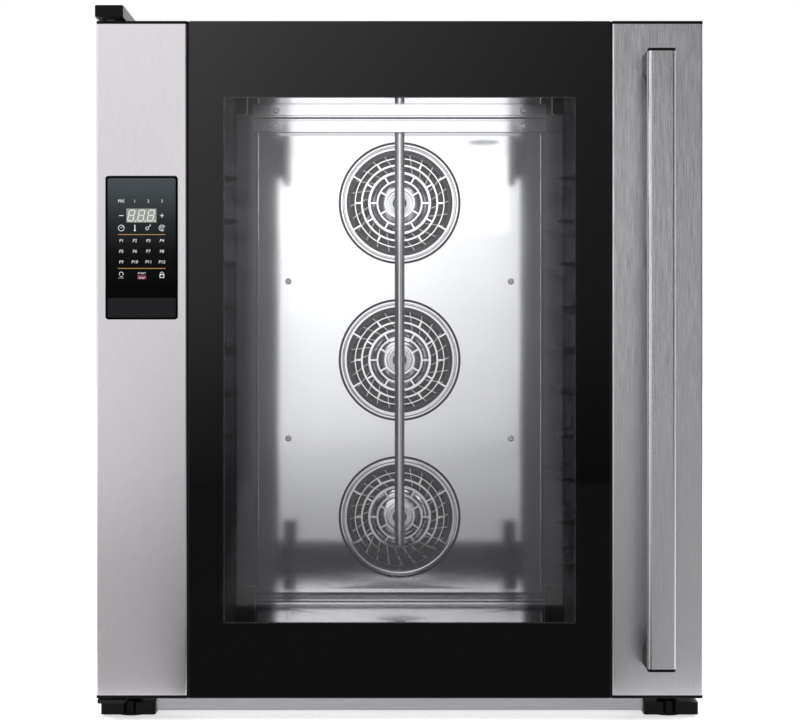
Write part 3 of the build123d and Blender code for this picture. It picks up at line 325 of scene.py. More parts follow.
# %% Floor card
def floor_card_paint(graph):
    x, y, _ = graph.axes()
    away = FACE - y
    width = away * 0.076 + 0.26
    middle = graph.smooth(abs(x) - width, -0.03, 0.03, 1.0, 0.0) * graph.smooth(away, 0.95, 1.25)
    middle = middle * graph.smooth(away, 1.6, 4.6, 0.42, 0.64) * graph.smooth(x, -0.35, 0.4, 1.0, 0.82)
    edge = away * 0.118 + 0.279
    left = graph.smooth(x + edge, -0.03, 0.0, 1.0, 0.0) * graph.smooth(away, 2.0, 4.4, 0.50, 0.96)
    right = graph.smooth(x - edge, 0.0, 0.03) * 0.56
    return middle.most(left).most(right).most(0.10)


FLOOR_CARD = (FACE - CARD_AWAY + FACE - 0.15) / 2
reflection_card("floor_card", 8, CARD_AWAY - 0.15, (0, FLOOR_CARD, 0.001), 0, floor_card_paint)

# %% [markdown]
# Bright cards hang at the left and over the front, and a dark one at the right. The rounded edges of the
# columns and of the handle pick them up as a light line on one side and a dark line on the other. A last
# small card, behind the top of the door, stands for the cavity's own light, which the fan cover mirrors
# above the window.


# %% Side cards
def plain(strength):
    return lambda graph: strength


SIDE_CARD = FACE - 2.1
reflection_card("left_card", 3.2, 3.4, (-3.0, SIDE_CARD, 1.6), 90, plain(1.2), "Y")
reflection_card("top_card", 5.0, 2.0, (0, SIDE_CARD, 3.3), 0, plain(1.5))
reflection_card("right_card", 3.2, 3.4, (3.0, SIDE_CARD, 1.6), 90, plain(0.05), "Y")
reflection_card("cavity_light_card", 0.412, 0.145, (0, -0.2925, 0.7925), 90, plain(1.5))


# %% [markdown]
# Soft lamps at the upper left and the right give the plastics and the printing a light and a shaded side. A
# third one lights the back, which the photograph doesn't show.


# %% Lamps
def soft_lamp(name, place, target, size, power):
    lamp = bpy.data.objects.new(name, bpy.data.lights.new(name, "AREA"))
    lamp.data.shape, lamp.data.size, lamp.data.energy = "DISK", size, power
    lamp.location = place
    lamp.rotation_mode = "QUATERNION"
    lamp.rotation_quaternion = (Vector(target) - Vector(place)).to_track_quat("-Z", "Y")
    bpy.context.scene.collection.objects.link(lamp)


MIDDLE = (0, 0, CAVITY_MIDDLE)
soft_lamp("key_lamp", (-2.6, -2.6, 3.6), MIDDLE, 2.2, 60)
soft_lamp("fill_lamp", (3.2, -1.2, 2.4), MIDDLE, 2.0, 25)
soft_lamp("back_lamp", (0.6, 3.2, 3.0), MIDDLE, 2.4, 40)


# %% [markdown]
# ## Finishes
# A finish is a material with one shader. What is the same all over is set on the shader's own sockets, and
# what changes over the surface is a wire that feeds one of them.


# %% Finish
class Finish(Graph):
    """The finish of one kind of surface."""

    def __init__(self, name, **constants):
        self.material = bpy.data.materials.new(name)
        super().__init__(self.material)
        self.shader = self.tree.nodes["Principled BSDF"]
        for socket, value in constants.items():
            self.shader.inputs[socket.replace("_", " ")].default_value = value

    def feed(self, socket, wire):
        self.tree.links.new(wire.socket, self.shader.inputs[socket])
        return self

    def relief(self, height, distance, strength=1.0):
        """Bump from a height between 0 and 1, of this depth in metres."""
        bump = self.node("Bump", {}, {"Strength": strength, "Distance": distance, "Height": height})
        return self.feed("Normal", bump)

    def shades(self, value, dark, light):
        """Base colour between two tones."""
        return self.feed("Base Color", self.mixed(value, dark, light))

    def on(self, *nodes):
        """Give solids of the engineering model this finish."""
        for node in nodes:
            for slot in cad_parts[node].material_slots:
                slot.material = self.material
        print(self.material.name, "on", ", ".join(nodes))
        return self


# %% [markdown]
# ### Stainless sheet
# Every steel face of the oven is rolled or brushed sheet. Brushing leaves fine scratches that run one way:
# a noise that is squeezed across the grain and drawn out along it. A coarse run and a fine run together
# look like the real abrasive belt, and the same runs roughen the surface and tilt it a little. Broad, faint
# clouds stand for handling.


# %% Steel
def steel(name, dark, light, rough, grain, depth=0.00002, clouds=0.05, fade=None, sheen=0.18):
    """Steel with a grain. The grain is the frequency of the scratches along x, y and z, per metre."""
    finish = Finish(name, Metallic=1.0)
    coarse = finish.noise(finish.stretched(*grain), detail=3.0, roughness=0.6)
    fine = finish.noise(finish.stretched(*(3.1 * g for g in grain)), detail=2.0)
    cloud = finish.noise(finish.stretched(5, 5, 5), detail=2.0)
    scratch = coarse * 0.65 + fine * 0.35
    if fade:
        height = finish.axes()[2]
        scratch = 0.5 + (scratch - 0.5) * finish.smooth(height, *fade, 0.2, 1.0)
    finish.shades(finish.smooth(scratch, 0.3, 0.7), dark, light)
    finish.feed("Roughness", rough + (scratch - 0.5) * sheen + (cloud - 0.5) * clouds)
    finish.relief(scratch, depth, 0.6)
    return finish


shell = steel("shell_steel", tone(172, 172, 176), tone(202, 202, 205), 0.34, (14, 14, 900))
shell.on("side_panel_left", "side_panel_right", "rear_panel", "front_frame", "base_pan")
shell.on("door_top_rail", "door_bottom_rail")
roof = steel("roof_steel", tone(172, 172, 176), tone(202, 202, 205), 0.34, (12, 900, 14))
roof.on("top_panel")
strip_finish = steel("strip_steel", tone(120, 120, 126), tone(140, 140, 146), 0.38, (900, 900, 14), 0.00001)
# The strips' face towards the pane is near black and not metallic: a painted shade.
painted_shade_face = strip_finish.axes()[1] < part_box("glass_clamp_strips")[0].y + 0.0006
strip_colour = strip_finish.shader.inputs["Base Color"].links[0].from_socket
colour_with_painted_shade = strip_finish.mixed(painted_shade_face, Wire(strip_finish, strip_colour), tone(26, 26, 29))
strip_finish.feed("Base Color", colour_with_painted_shade).feed("Metallic", 1 - painted_shade_face)
skirt_finish = steel("skirt_steel", tone(160, 160, 164), tone(178, 178, 182), 0.42, (10, 700, 700), 0.000008)

# %% [markdown]
# The two door columns differ. The left one, round the control panel, is a fine satin that hardly shows its
# grain. The right one and the handle are brushed upwards with a coarse belt, and the belt pressed less over
# their lower half, where the grain is faint.

# %% Columns and handle
SATIN_TONES = tone(217, 213, 218), tone(221, 217, 222)
satin = steel("column_satin", *SATIN_TONES, 0.21, (300, 300, 90), 0.0000005, clouds=0.02, sheen=0.02)
satin.on("door_left_column")
BELT, BELT_FADE = (860, 860, 24), (0.25, 0.6)
BELT_TONES = tone(172, 171, 175), tone(224, 223, 227)
brushed = steel("column_brushed", *BELT_TONES, 0.30, BELT, clouds=0.04, fade=BELT_FADE)
brushed.on("door_right_column")
bar = steel("handle_brushed", tone(174, 173, 177), BELT_TONES[1], 0.26, BELT, clouds=0.04, fade=BELT_FADE)
bar.on("handle_bar")

# %% [markdown]
# The cavity is polished sheet that mirrors what stands in front of the oven. Nothing rolled is quite flat,
# so a slow wave of a fraction of a millimetre bends the reflections, and wiping leaves faint streaks in the
# roughness.


# %% Cavity steel
def polished(name, colour, rough, wave=0.0004):
    finish = Finish(name, Metallic=1.0, Base_Color=colour)
    wipe = finish.noise(finish.stretched(60, 60, 3), detail=3.0)
    haze = finish.noise(finish.stretched(7, 7, 7), detail=1.0)
    finish.feed("Roughness", rough + (wipe - 0.5) * rough * 0.5 + (haze - 0.5) * rough * 0.6)
    slow = finish.noise(finish.stretched(5, 5, 4), detail=1.0)
    finish.relief(slow + wipe * 0.002, wave, 1.0)
    return finish


FAN_HEIGHTS = [sum(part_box(f"fan_wheel_{place}"), Vector()).z / 2 for place in ("bottom", "middle", "top")]


def fan_radius(graph):
    """Distance from the axis of the nearest fan."""
    x, _, z = graph.axes()
    first, pitch = FAN_HEIGHTS[0], FAN_HEIGHTS[1] - FAN_HEIGHTS[0]
    rise = graph.node("Math", {"operation": "WRAP"}, {0: z - first, 1: pitch / 2, 2: -pitch / 2})
    return (x**2 + rise**2) ** 0.5


cover = polished("cover_steel", tone(238, 239, 242), 0.085)
OUTER_SLOT = 0.0968
# A dark ring is painted round the outermost slot of each guard: painted shade.
painted_slot_shade = cover.smooth(abs(fan_radius(cover) - OUTER_SLOT), 0.0016, 0.0022, 1.0, 0.0)
cover.shades(painted_slot_shade, tone(238, 239, 242), tone(26, 26, 28))
cover.on("fan_cover")

# %% [markdown]
# The two strips have folded edges. A fold turns away from the light, so each strip has dark lines along it,
# painted shade. The lower strip is a greyer tone, with a painted highlight along its lowest fold. The
# ceiling has a darker band across it, a little in front of the cover.

# %% Cover strips
edging = polished("cover_strip_steel", tone(238, 239, 242), 0.10)
_, _, z = edging.axes()
TOP_EDGE, TOP_FOLD = 0.8637, (0.8415, 0.8432)
LOW_FOLD, LOW_EDGE, PAINTED_HIGHLIGHT_LINE = 0.0995, 0.0893, (0.0900, 0.0930)
HALF_WAY = 0.3
top_folds = (z > TOP_EDGE).most((z > TOP_FOLD[0]) * (z < TOP_FOLD[1]))
low_folds = ((z > LOW_FOLD) * (z < HALF_WAY)).most(z < LOW_EDGE)
# The lower strip is greyer, except for a painted highlight line along its lowest fold.
grey_lower_strip = (z < HALF_WAY) * (1 - (z > PAINTED_HIGHLIGHT_LINE[0]) * (z < PAINTED_HIGHLIGHT_LINE[1]))
sheet_tone = edging.mixed(grey_lower_strip, tone(238, 239, 242), tone(158, 159, 164))
edging.feed("Base Color", edging.mixed(top_folds.most(low_folds), sheet_tone, tone(88, 88, 92)))
edging.on("cover_strips")
# The side walls are the same polished steel in a darker tone: painted shade.
polished("cavity_steel", tone(176, 177, 181), 0.14).on("cavity_left_wall", "cavity_right_wall")
# A darker band is painted across the ceiling.
DARK_BAND_Y = 0.149
ceiling = polished("ceiling_steel", tone(226, 227, 230), 0.07)
dark_band = ceiling.smooth(abs(ceiling.axes()[1] - DARK_BAND_Y), 0.006, 0.0075, 1.0, 0.0)
ceiling.shades(dark_band, tone(226, 227, 230), tone(84, 84, 88))
ceiling.on("cavity_ceiling")
polished("pipe_steel", tone(226, 227, 230), 0.16, 0.0).on("steam_pipe", "drain_pipe", "exhaust_outlet")
screw_steel = polished("screw_steel", tone(232, 233, 236), 0.22, 0.0)
screw_steel.shader.inputs["Metallic"].default_value = 0.5
polished("rack_steel", tone(206, 207, 210), 0.24, 0.0).on("tray_rack_left", "tray_rack_right")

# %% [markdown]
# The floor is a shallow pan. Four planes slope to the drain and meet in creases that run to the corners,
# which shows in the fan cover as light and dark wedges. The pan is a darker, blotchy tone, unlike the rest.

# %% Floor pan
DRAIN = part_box("drain_pipe")
DRAIN_Y = (DRAIN[0].y + DRAIN[1].y) / 2
pan = Finish("pan_steel", Metallic=1.0)
x, y, _ = pan.axes()
blotch = pan.noise(pan.stretched(14, 14, 14), detail=3.0)
pan.shades(pan.smooth(blotch, 0.3, 0.75), tone(105, 106, 111), tone(121, 122, 127))
pan.feed("Roughness", 0.10 + blotch * 0.06)
pan.relief((abs(x) * 0.82).most(abs(y - DRAIN_Y)) * 24, 0.001, 1.0)
pan.on("cavity_floor")

# %% [markdown]
# Behind the fan cover the wall and the wheels are painted a dark, mottled brown and grey: painted shade. The
# blades carry a painted highlight along their front edges and painted shade further in, and those edges are
# what shows through the guards. Outside the blades the front plate of each wheel is painted dark, as shade.

# %% Back wall and fan wheels
COVER_LOW, COVER_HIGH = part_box("fan_cover")
back = Finish("back_steel", Metallic=1.0)
x, _, _ = back.axes()
mottle = back.noise(back.stretched(16, 16, 16), detail=3.0)
# Where the cover hides it, the back wall is painted dark: painted shade.
shaded_behind_cover = back.smooth(abs(x), COVER_HIGH.x - 0.006, COVER_HIGH.x, 1.0, 0.0)
mottled_painted_shade = back.mixed(mottle, tone(24, 23, 23), tone(44, 41, 39))
back.feed("Base Color", back.mixed(shaded_behind_cover, tone(140, 141, 146), mottled_painted_shade))
back.feed("Roughness", 0.06 + shaded_behind_cover * (0.34 + mottle * 0.1))
back.on("cavity_back_wall")
WHEEL_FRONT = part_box("fan_wheel_middle")[0].y
wheel = Finish("fan_steel", Metallic=1.0)
y = wheel.axes()[1]
mottle = wheel.noise(wheel.stretched(60, 60, 60), detail=3.0)
# Painted highlight on the front edges of the blades; painted shade deeper in and beyond the blades.
painted_edge_highlight = wheel.smooth(y + mottle * 0.002, WHEEL_FRONT + 0.0035, WHEEL_FRONT + 0.0065, 1.0, 0.0)
BLADES_END = 0.0785
rim = wheel.smooth(fan_radius(wheel), BLADES_END, BLADES_END + 0.0015)
highlight_and_rim_shade = wheel.mixed(rim, tone(232, 233, 236), tone(52, 52, 54))
mottled_painted_shade = wheel.mixed(mottle, tone(30, 29, 30), tone(58, 56, 55))
wheel.feed("Base Color", wheel.mixed(painted_edge_highlight, mottled_painted_shade, highlight_and_rim_shade))
wheel.feed("Roughness", 0.26 + mottle * 0.12)
wheel.on("fan_wheel_bottom", "fan_wheel_middle", "fan_wheel_top")

# %% [markdown]
# ### Glass
# Both panes are thin and flat, so nothing is bent in them. A pane is a mirror that covers only a small
# share of what is behind it: 3.5 percent straight on and more towards the edge of sight, by the rule of
# Schlick. Only the outermost face is bare glass, and the others are coated against glare. Where the outer
# pane is printed black, the cover is whole and the mirror turns into black gloss.


# %% Panes
def mirror_share(graph, straight):
    """How much of a bare glass face is mirror, from its share when looked at straight on."""
    facing = graph.node("LayerWeight", {}, {"Blend": 0.5}, out="Facing")
    return facing**5 * 0.96 + straight


def outside(graph, half_width, half_height):
    """Distance outside an upright rectangle about the middle of the cavity, less than nought within it."""
    x, _, z = graph.axes()
    return (abs(x) - half_width).most(abs(z - CAVITY_MIDDLE) - half_height)


WINDOW, FILM = (0.2315, 0.3465), (0.2175, 0.3275)
outer = Finish("outer_glass", Roughness=0.02, IOR=1.5)
printed = outer.smooth(outside(outer, *WINDOW), -0.0002, 0.0002)
outer.feed("Base Color", outer.mixed(printed, (1, 1, 1, 1), (0.0018, 0.0018, 0.0024, 1)))
outer.feed("Metallic", 1 - printed)
bare = outer.axes()[1] < FACE + 0.003
outer.feed("Alpha", printed.most(mirror_share(outer, bare * 0.035)))
outer.on("door_outer_glass")

# %% [markdown]
# The middle of the inner pane carries a heat mirror, a film so thin that it only shows as a slight
# milkiness. It stops a little short of the strips that hold the pane.

# %% Inner glass
inner = Finish("inner_glass", Roughness=0.02, Specular_IOR_Level=0.3)
film = inner.smooth(outside(inner, *FILM), -0.0004, 0.0004, 1.0, 0.0)
cloud = inner.noise(inner.stretched(6, 6, 6), detail=1.0)
inner.feed("Base Color", inner.mixed(film, (1, 1, 1, 1), tone(222, 224, 232)))
inner.feed("Metallic", 1 - film)
inner.feed("Alpha", mirror_share(inner, 0.002) + film * (0.026 + cloud * 0.008))
inner.on("door_inner_glass")

# %% [markdown]
# ### Control glass and bezel
# The control panel is black glass that mirrors very little. Its colour carries a painted reflection, a grey
# that grows lighter towards the top, and a plain charcoal band at its foot.

# %% Panel glass
PANEL_LOW, PANEL_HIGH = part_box("control_glass")
PANEL = Vector(((PANEL_LOW.x + PANEL_HIGH.x) / 2, PANEL_LOW.y, (PANEL_LOW.z + PANEL_HIGH.z) / 2))


def rounded(graph, half_width, half_height, corner):
    """Distance outside a round-cornered rectangle about the panel's middle, less than nought within it."""
    x, _, z = graph.axes()
    u, v = abs(x - PANEL.x) - (half_width - corner), abs(z - PANEL.z) - (half_height - corner)
    return (u.most(0) ** 2 + v.most(0) ** 2) ** 0.5 + u.most(v).least(0) - corner


gloss = Finish("panel_gloss", Roughness=0.06, IOR=1.45, Specular_IOR_Level=0.04)
_, _, z = gloss.axes()
shades = [(0.572, tone(2)), (0.62, tone(16)), (0.66, tone(40, 43, 46)), (0.71, tone(72, 78, 82))]
# The ramp up the panel is a painted reflection.
painted_reflection = gloss.ramp(z, shades)
BAND_TOP = 0.5587
shade = gloss.mixed(z < BAND_TOP, painted_reflection, tone(33, 33, 36))
rim = gloss.smooth(rounded(gloss, 0.0453, 0.0923, 0.003), -0.0008, -0.0004)
gloss.feed("Base Color", gloss.mixed(rim, shade, tone(4)))
gloss.on("control_glass")

# %% [markdown]
# The bezel is black chrome. Only its outermost edge and its corners, outside the rounding, are polished
# bare.

# %% Bezel
chrome = Finish("bezel_chrome", Metallic=1.0, Roughness=0.2)
worn = chrome.noise(chrome.stretched(260, 260, 260), detail=2.0)
edge = rounded(chrome, 0.048, 0.095, 0.0045) + worn * 0.0003
chrome.shades(chrome.smooth(edge, -0.0004, 0.0002), tone(6, 6, 7), tone(206, 206, 210))
chrome.on("control_bezel")

# %% [markdown]
# ### Plastics and rubber
# Moulded plastic has a spark-eroded texture: a fine grain that scatters the highlight. The gasket is
# silicone, softer and duller.


# %% Plastics
def moulded(name, dark, light, rough, grain=900, depth=0.00004):
    finish = Finish(name, Specular_IOR_Level=0.12)
    pits = finish.noise(finish.stretched(grain, grain, grain), detail=2.0)
    cloud = finish.noise(finish.stretched(9, 9, 9), detail=2.0)
    finish.shades(finish.smooth(cloud * 0.6 + pits * 0.4, 0.3, 0.7), dark, light)
    finish.feed("Roughness", rough + (cloud - 0.5) * 0.12)
    finish.relief(pits, depth, 0.7)
    return finish


plastic = moulded("black_plastic", tone(3, 3, 4), tone(11, 11, 13), 0.36)
plastic.on("column_caps", "handle_end_caps", "handle_supports", "hinge_arm_cap")
plastic.on("feet", "cable_gland", "water_valve")
rubber = moulded("gasket_rubber", tone(12, 12, 13), tone(24, 24, 25), 0.62, 500, 0.00008).on("door_gasket")
moulded("roller_plastic", tone(206, 204, 196), tone(224, 222, 214), 0.38).on("catch_roller")

# %% [markdown]
# ### Hinge and catch steel
# The hinge arms and the catch are thick plate with a dull zinc skin: grey patches of slightly different
# gloss.


# %% Zinc
def zinc(name, dark, light, rough):
    finish = Finish(name, Metallic=1.0)
    cells = {"Vector": finish.stretched(160, 160, 160), "Scale": 1.0}
    patch = finish.node("TexVoronoi", {"feature": "SMOOTH_F1"}, cells)
    grain = finish.noise(finish.stretched(1200, 1200, 1200), detail=2.0)
    finish.shades(patch * 0.7 + grain * 0.3, dark, light)
    finish.feed("Roughness", rough + (patch - 0.5) * 0.15)
    finish.relief(grain, 0.00003, 0.6)
    return finish


zinc("hinge_zinc", tone(120, 121, 124), tone(150, 151, 154), 0.42).on(
    "hinge_pins", "catch_bracket", "catch_arm", "door_strike"
)
zinc("arm_paint", tone(78, 79, 82), tone(96, 97, 100), 0.46).on("hinge_arm_top")
zinc("lower_arm_paint", tone(34, 34, 36), tone(48, 48, 50), 0.5).on("hinge_arm_bottom")
casting = zinc("motor_casting", tone(170, 171, 173), tone(196, 197, 199), 0.5)
casting.on("fan_motor_bottom", "fan_motor_middle", "fan_motor_top")


# %% [markdown]
# ### Brass, heating tube, glass wool, circuit boards and light bars
# Brass tarnishes in warm patches. The heating tube has gone through heat and shows straw and blue. Glass
# wool is a felt of yellow fibres. A board is green lacquer over copper tracks. The light bars are milky
# covers, switched off, with a yellow chip every few millimetres behind them.


# %% Brass
def brass(name, dark, light, rough):
    finish = Finish(name, Metallic=1.0)
    cloud = finish.noise(finish.stretched(120, 120, 120), detail=3.0)
    turned = finish.noise(finish.stretched(90, 2400, 90), detail=1.0)
    finish.shades(finish.smooth(cloud, 0.3, 0.7), dark, light)
    finish.feed("Roughness", rough + (cloud - 0.5) * 0.2)
    finish.relief(turned, 0.00003, 0.5)
    return finish


brass("fitting_brass", tone(176, 142, 84), tone(214, 182, 116), 0.3).on("water_inlet")
brass("bush_brass", tone(150, 112, 66), tone(190, 150, 92), 0.4).on("hinge_bushes")

# %% Heating tube
tube = Finish("element_steel", Metallic=1.0)
heat = tube.noise(tube.stretched(22, 22, 22), detail=2.0)
scale = tube.noise(tube.stretched(700, 700, 700), detail=2.0)
colours = [
    (0.3, tone(96, 92, 90)), (0.48, tone(140, 118, 92)), (0.6, tone(88, 90, 108)), (0.72, tone(70, 68, 70)),
]
tube.feed("Base Color", tube.ramp(heat, colours))
tube.feed("Roughness", 0.42 + (scale - 0.5) * 0.3)
tube.relief(scale, 0.00005, 0.6)
tube.on("heating_element_bottom", "heating_element_middle", "heating_element_top")

# %% Glass wool
wool = Finish("glass_wool", Roughness=0.95)
felt = wool.noise(wool.stretched(180, 180, 620), detail=4.0, roughness=0.7, distortion=1.5)
tuft = wool.noise(wool.stretched(30, 30, 30), detail=2.0)
wool.shades(felt * 0.6 + tuft * 0.4, tone(168, 150, 92), tone(236, 226, 180))
wool.relief(felt + tuft, 0.0012, 0.8)
wool.on("insulation")

# %% Circuit boards
board = Finish("circuit_board", Roughness=0.35)
x, y, z = board.axes()
run = board.noise(board.stretched(60, 60, 60), detail=0.0)
track = (((x + y) + run * 0.004).repeat(0.0036) < 0.0006).most((z + run * 0.006).repeat(0.0052) < 0.0005)
pads = board.node("TexVoronoi", {}, {"Vector": board.stretched(140, 140, 140), "Scale": 1.0}) < 0.14
lacquer = board.mixed(track, tone(18, 74, 44), tone(46, 118, 70))
board.feed("Base Color", board.mixed(pads, lacquer, tone(206, 200, 184)))
board.feed("Metallic", pads * 0.8)
board.relief(track.most(pads), 0.00006, 0.8)
board.on("power_board", "control_board")

# %% Light bars
bars = Finish("light_bar", Roughness=0.35)
_, _, z = bars.axes()
chip = bars.smooth(z.repeat(0.016), 0.0, 0.005, 1.0, 0.0)
bars.shades(chip, tone(200, 200, 202), tone(236, 232, 190))
bars.on("led_light_bars")


# %% [markdown]
# ## Pieces that the solids leave out or simplify
# Each new piece is shaped in its own bmesh, written to a mesh whose place is in its points, given a finish,
# and set to ride on the body that carries it.


# %% Making a piece
def make_piece(name, shape, finish, body, smooth=False):
    bmesh.ops.recalc_face_normals(shape, faces=shape.faces)
    for edge in shape.edges:
        edge.smooth = len(edge.link_faces) == 2 and edge.calc_face_angle(0) < 0.6
    mesh = bpy.data.meshes.new(name)
    shape.to_mesh(mesh)
    shape.free()
    for face in mesh.polygons:
        face.use_smooth = smooth
    mesh.materials.append(finish.material)
    piece = bpy.data.objects.new(name, mesh)
    bpy.context.scene.collection.objects.link(piece)
    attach(piece, body)
    print(name, len(mesh.polygons), "faces on", body)
    return piece


# %% [markdown]
# ### Skins
# Most small pieces are rings of points joined into one skin. A turned piece has round rings, a folded or
# bevelled piece has rectangular ones, and a ring may also be a star, which is how the recess of a screw is
# cut.


# %% Skins
def skin(shape, rings, loop=False):
    """Join rings of equally many points. Without loop, the first and the last ring are closed."""
    rows = [[shape.verts.new(point) for point in ring] for ring in rings]
    for row, after in zip(rows, rows[1:] + rows[:1] if loop else rows[1:]):
        for i, point in enumerate(row):
            j = (i + 1) % len(row)
            shape.faces.new((point, row[j], after[j], after[i]))
    if not loop:
        shape.faces.new(rows[0])
        shape.faces.new(rows[-1])


def turned(shape, place, rings, steps):
    """A skin turned about Y, from pairs of a radius or a function of the angle, and a distance in front."""
    x, y, z = place
    angles = [math.tau * i / steps for i in range(steps)]
    rows = []
    for radius, front in rings:
        sizes = [radius(a) if callable(radius) else radius for a in angles]
        rows.append([(x + r * math.cos(a), y - front, z + r * math.sin(a)) for r, a in zip(sizes, angles)])
    skin(shape, rows)


def upright(half_width, low, high, y, middle=0.0, corner=0.0):
    """The points of an upright rectangle, its corners cut where a size is given."""
    cut = [(1, 0), (0, 1)] if corner else [(0, 0)]
    points = []
    for sx, sz in ((1, 1), (-1, 1), (-1, -1), (1, -1)):
        cuts = cut if sx == sz else cut[::-1]
        for cx, cz in cuts:
            x = middle + sx * (half_width - cz * corner)
            points.append((x, y, (high if sz > 0 else low) - sz * cx * corner))
    return points


# %% [markdown]
# ### Door details
# Black silicone fills the narrow gaps between the glass and the columns. Folded strips hold the inner pane.
# Their face towards the pane is painted near black, a painted shade, and through the window only that shows.
# A dark block of black plastic stands near each corner of the pane. It is placed by its look from the front:
# it stands free behind the pane and touches nothing.

# %% Seals
GLASS_LOW, GLASS_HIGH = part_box("door_outer_glass")
COLUMN_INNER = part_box("door_right_column")[0].x
seals = bmesh.new()
for side in (-1, 1):
    near, far = side * (GLASS_HIGH.x + 0.00005), side * (COLUMN_INNER - 0.00005)
    dip = (near + far) / 2
    section = [(near, 0.0007), (dip, 0.0013), (far, 0.0007), (far, 0.005), (near, 0.005)]
    ends = (GLASS_LOW.z + 0.0005, GLASS_HIGH.z - 0.0005)
    skin(seals, [[(x, FACE + inside, z) for x, inside in section] for z in ends])
make_piece("glass_seals", seals, rubber, "door")

# %% Strips of the inner pane
STRIPS_LOW, STRIPS_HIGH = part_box("glass_clamp_strips")
STRIP_WIDTH = 0.044
strips = bmesh.new()
fold = [(0.0, STRIPS_LOW.y), (0.0, STRIPS_HIGH.y - 0.0008), (0.03, STRIPS_HIGH.y), (0.93, STRIPS_HIGH.y),
        (0.98, STRIPS_HIGH.y - 0.001), (1.0, STRIPS_HIGH.y - 0.003), (1.0, STRIPS_LOW.y)]
rings = []
for inward, y in fold:
    width = inward * STRIP_WIDTH
    rings.append(upright(STRIPS_HIGH.x - width, STRIPS_LOW.z + width, STRIPS_HIGH.z - width, y))
skin(strips, rings, loop=True)
folded = make_piece("inner_pane_strips", strips, strip_finish, "door")
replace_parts(folded, "glass_clamp_strips")

# %% Corner blocks
dark_blocks = bmesh.new()
DARK_BLOCK_BACK, DARK_BLOCK_OUTER = STRIPS_HIGH.y, 0.220
DARK_BLOCKS = ((0.119, 0.1745, 0.194), (0.806, 0.861, 0.2045))
DARK_BLOCK_RINGS = [(0.0, 0.0), (0.0, 0.0045), (0.0006, 0.0056), (0.0016, 0.006)]
for side in (-1, 1):
    for low, high, near in DARK_BLOCKS:
        half, middle = (DARK_BLOCK_OUTER - near) / 2, side * (DARK_BLOCK_OUTER + near) / 2
        rings = []
        for inset, out in DARK_BLOCK_RINGS:
            y = DARK_BLOCK_BACK + 0.0001 + out
            rings.append(upright(half - inset, low + inset, high - inset, y, middle, 0.002))
        skin(dark_blocks, rings)
make_piece("inner_pane_dark_blocks", dark_blocks, plastic, "door")

# %% [markdown]
# ### Screws
# Each head is a low dome with a six-lobed recess. The recess is the star ring: its radius swells and
# shrinks six times in one turn. A straight rim and a hair-thin gap under it make the head sit on the sheet
# and not grow out of it.


# %% Screws
def star(angle):
    return 0.0023 + 0.0004 * math.cos(6 * angle)


def screw(shape, x, y, z, radius=0.005, height=0.0026):
    turned(shape, (x, y, z), [
        (0.0002, height - 0.0014), (lambda a: star(a) * 0.96, height - 0.0014), (star, height - 0.0001),
        (0.0030, height), (radius * 0.76, height * 0.88), (radius * 0.93, height * 0.55),
        (radius, height * 0.24), (radius, 0.00005), (0.0002, 0.00005),
    ], 48)


COVER_FRONT = COVER_LOW.y
STRIP_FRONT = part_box("cover_strips")[0].y
cover_heads = bmesh.new()
SCREWS_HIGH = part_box("cover_screws")[1]
COVER_SCREW_X, COVER_SCREW_HEIGHTS = 0.180, (0.350, 0.604)
for side in (-1, 1):
    for z in COVER_SCREW_HEIGHTS:
        screw(cover_heads, side * COVER_SCREW_X, COVER_FRONT, z)
    screw(cover_heads, side * (SCREWS_HIGH.x - 0.005), STRIP_FRONT, SCREWS_HIGH.z - 0.005)
heads = make_piece("cover_screw_heads", cover_heads, screw_steel, "cabinet", True)
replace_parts(heads, "cover_screws")

# %% [markdown]
# ### Skirt
# The sheet between the front feet ends in a soft fold. The fold is a quarter turn of points, and the whole
# profile is drawn once and pulled across the oven.

# %% Skirt
SKIRT_LOW, SKIRT_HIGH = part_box("front_skirt")
FOLD = 0.0022
front, rear = SKIRT_LOW.y, SKIRT_HIGH.y
profile = [(front + 0.0015, SKIRT_HIGH.z), (front, SKIRT_HIGH.z)]
for step in range(7):
    turn = step * math.pi / 12
    profile.append((front + FOLD * (1 - math.cos(turn)), SKIRT_LOW.z + FOLD * (1 - math.sin(turn))))
profile += [(rear, SKIRT_LOW.z), (rear, SKIRT_LOW.z + 0.0012), (front + 0.0015, SKIRT_LOW.z + FOLD + 0.001)]
skirt = bmesh.new()
inner_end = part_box("feet")[1].x - 0.0735
skin(skirt, [[(x, y, z) for y, z in profile] for x in (-inner_end, inner_end)])
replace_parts(make_piece("skirt_sheet", skirt, skirt_finish, "cabinet"), "front_skirt")

# %% [markdown]
# ### Hubs of the fans
# A spun dome leads the air from the middle of each wheel to its blades. Its slope looks at the ceiling
# above and the floor below, so it shines at the top and bottom and stays dark at the sides. A domed nut
# holds the wheel on its shaft.

# %% Hubs
hub_finish = polished("hub_steel", tone(226, 227, 230), 0.12, 0.0)
for place in ("bottom", "middle", "top"):
    low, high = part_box(f"fan_wheel_{place}")
    centre = Vector((0, low.y, (low.z + high.z) / 2))
    hub = bmesh.new()
    dome = [
        (0.0505, -0.0140), (0.0505, -0.0120), (0.047, -0.0085), (0.040, -0.0052),
        (0.030, -0.0022), (0.0215, -0.0004), (0.0182, -0.0003),
    ]
    turned(hub, centre, dome, 64)
    nut = [(0.0002, 0.0052)]
    for turn in (0.25, 0.5, 0.75, 1.0, 1.2, 1.4):
        nut.append((0.0125 * math.sin(turn), 0.0052 - 0.0085 * (1 - math.cos(turn))))
    nut += [(0.0132, -0.0005), (0.0160, -0.0001), (0.0168, 0.0001), (0.0172, -0.0005), (0.0002, -0.0007)]
    turned(hub, centre, nut, 48)
    make_piece(f"fan_hub_{place}", hub, hub_finish, f"fan_{place}", True)

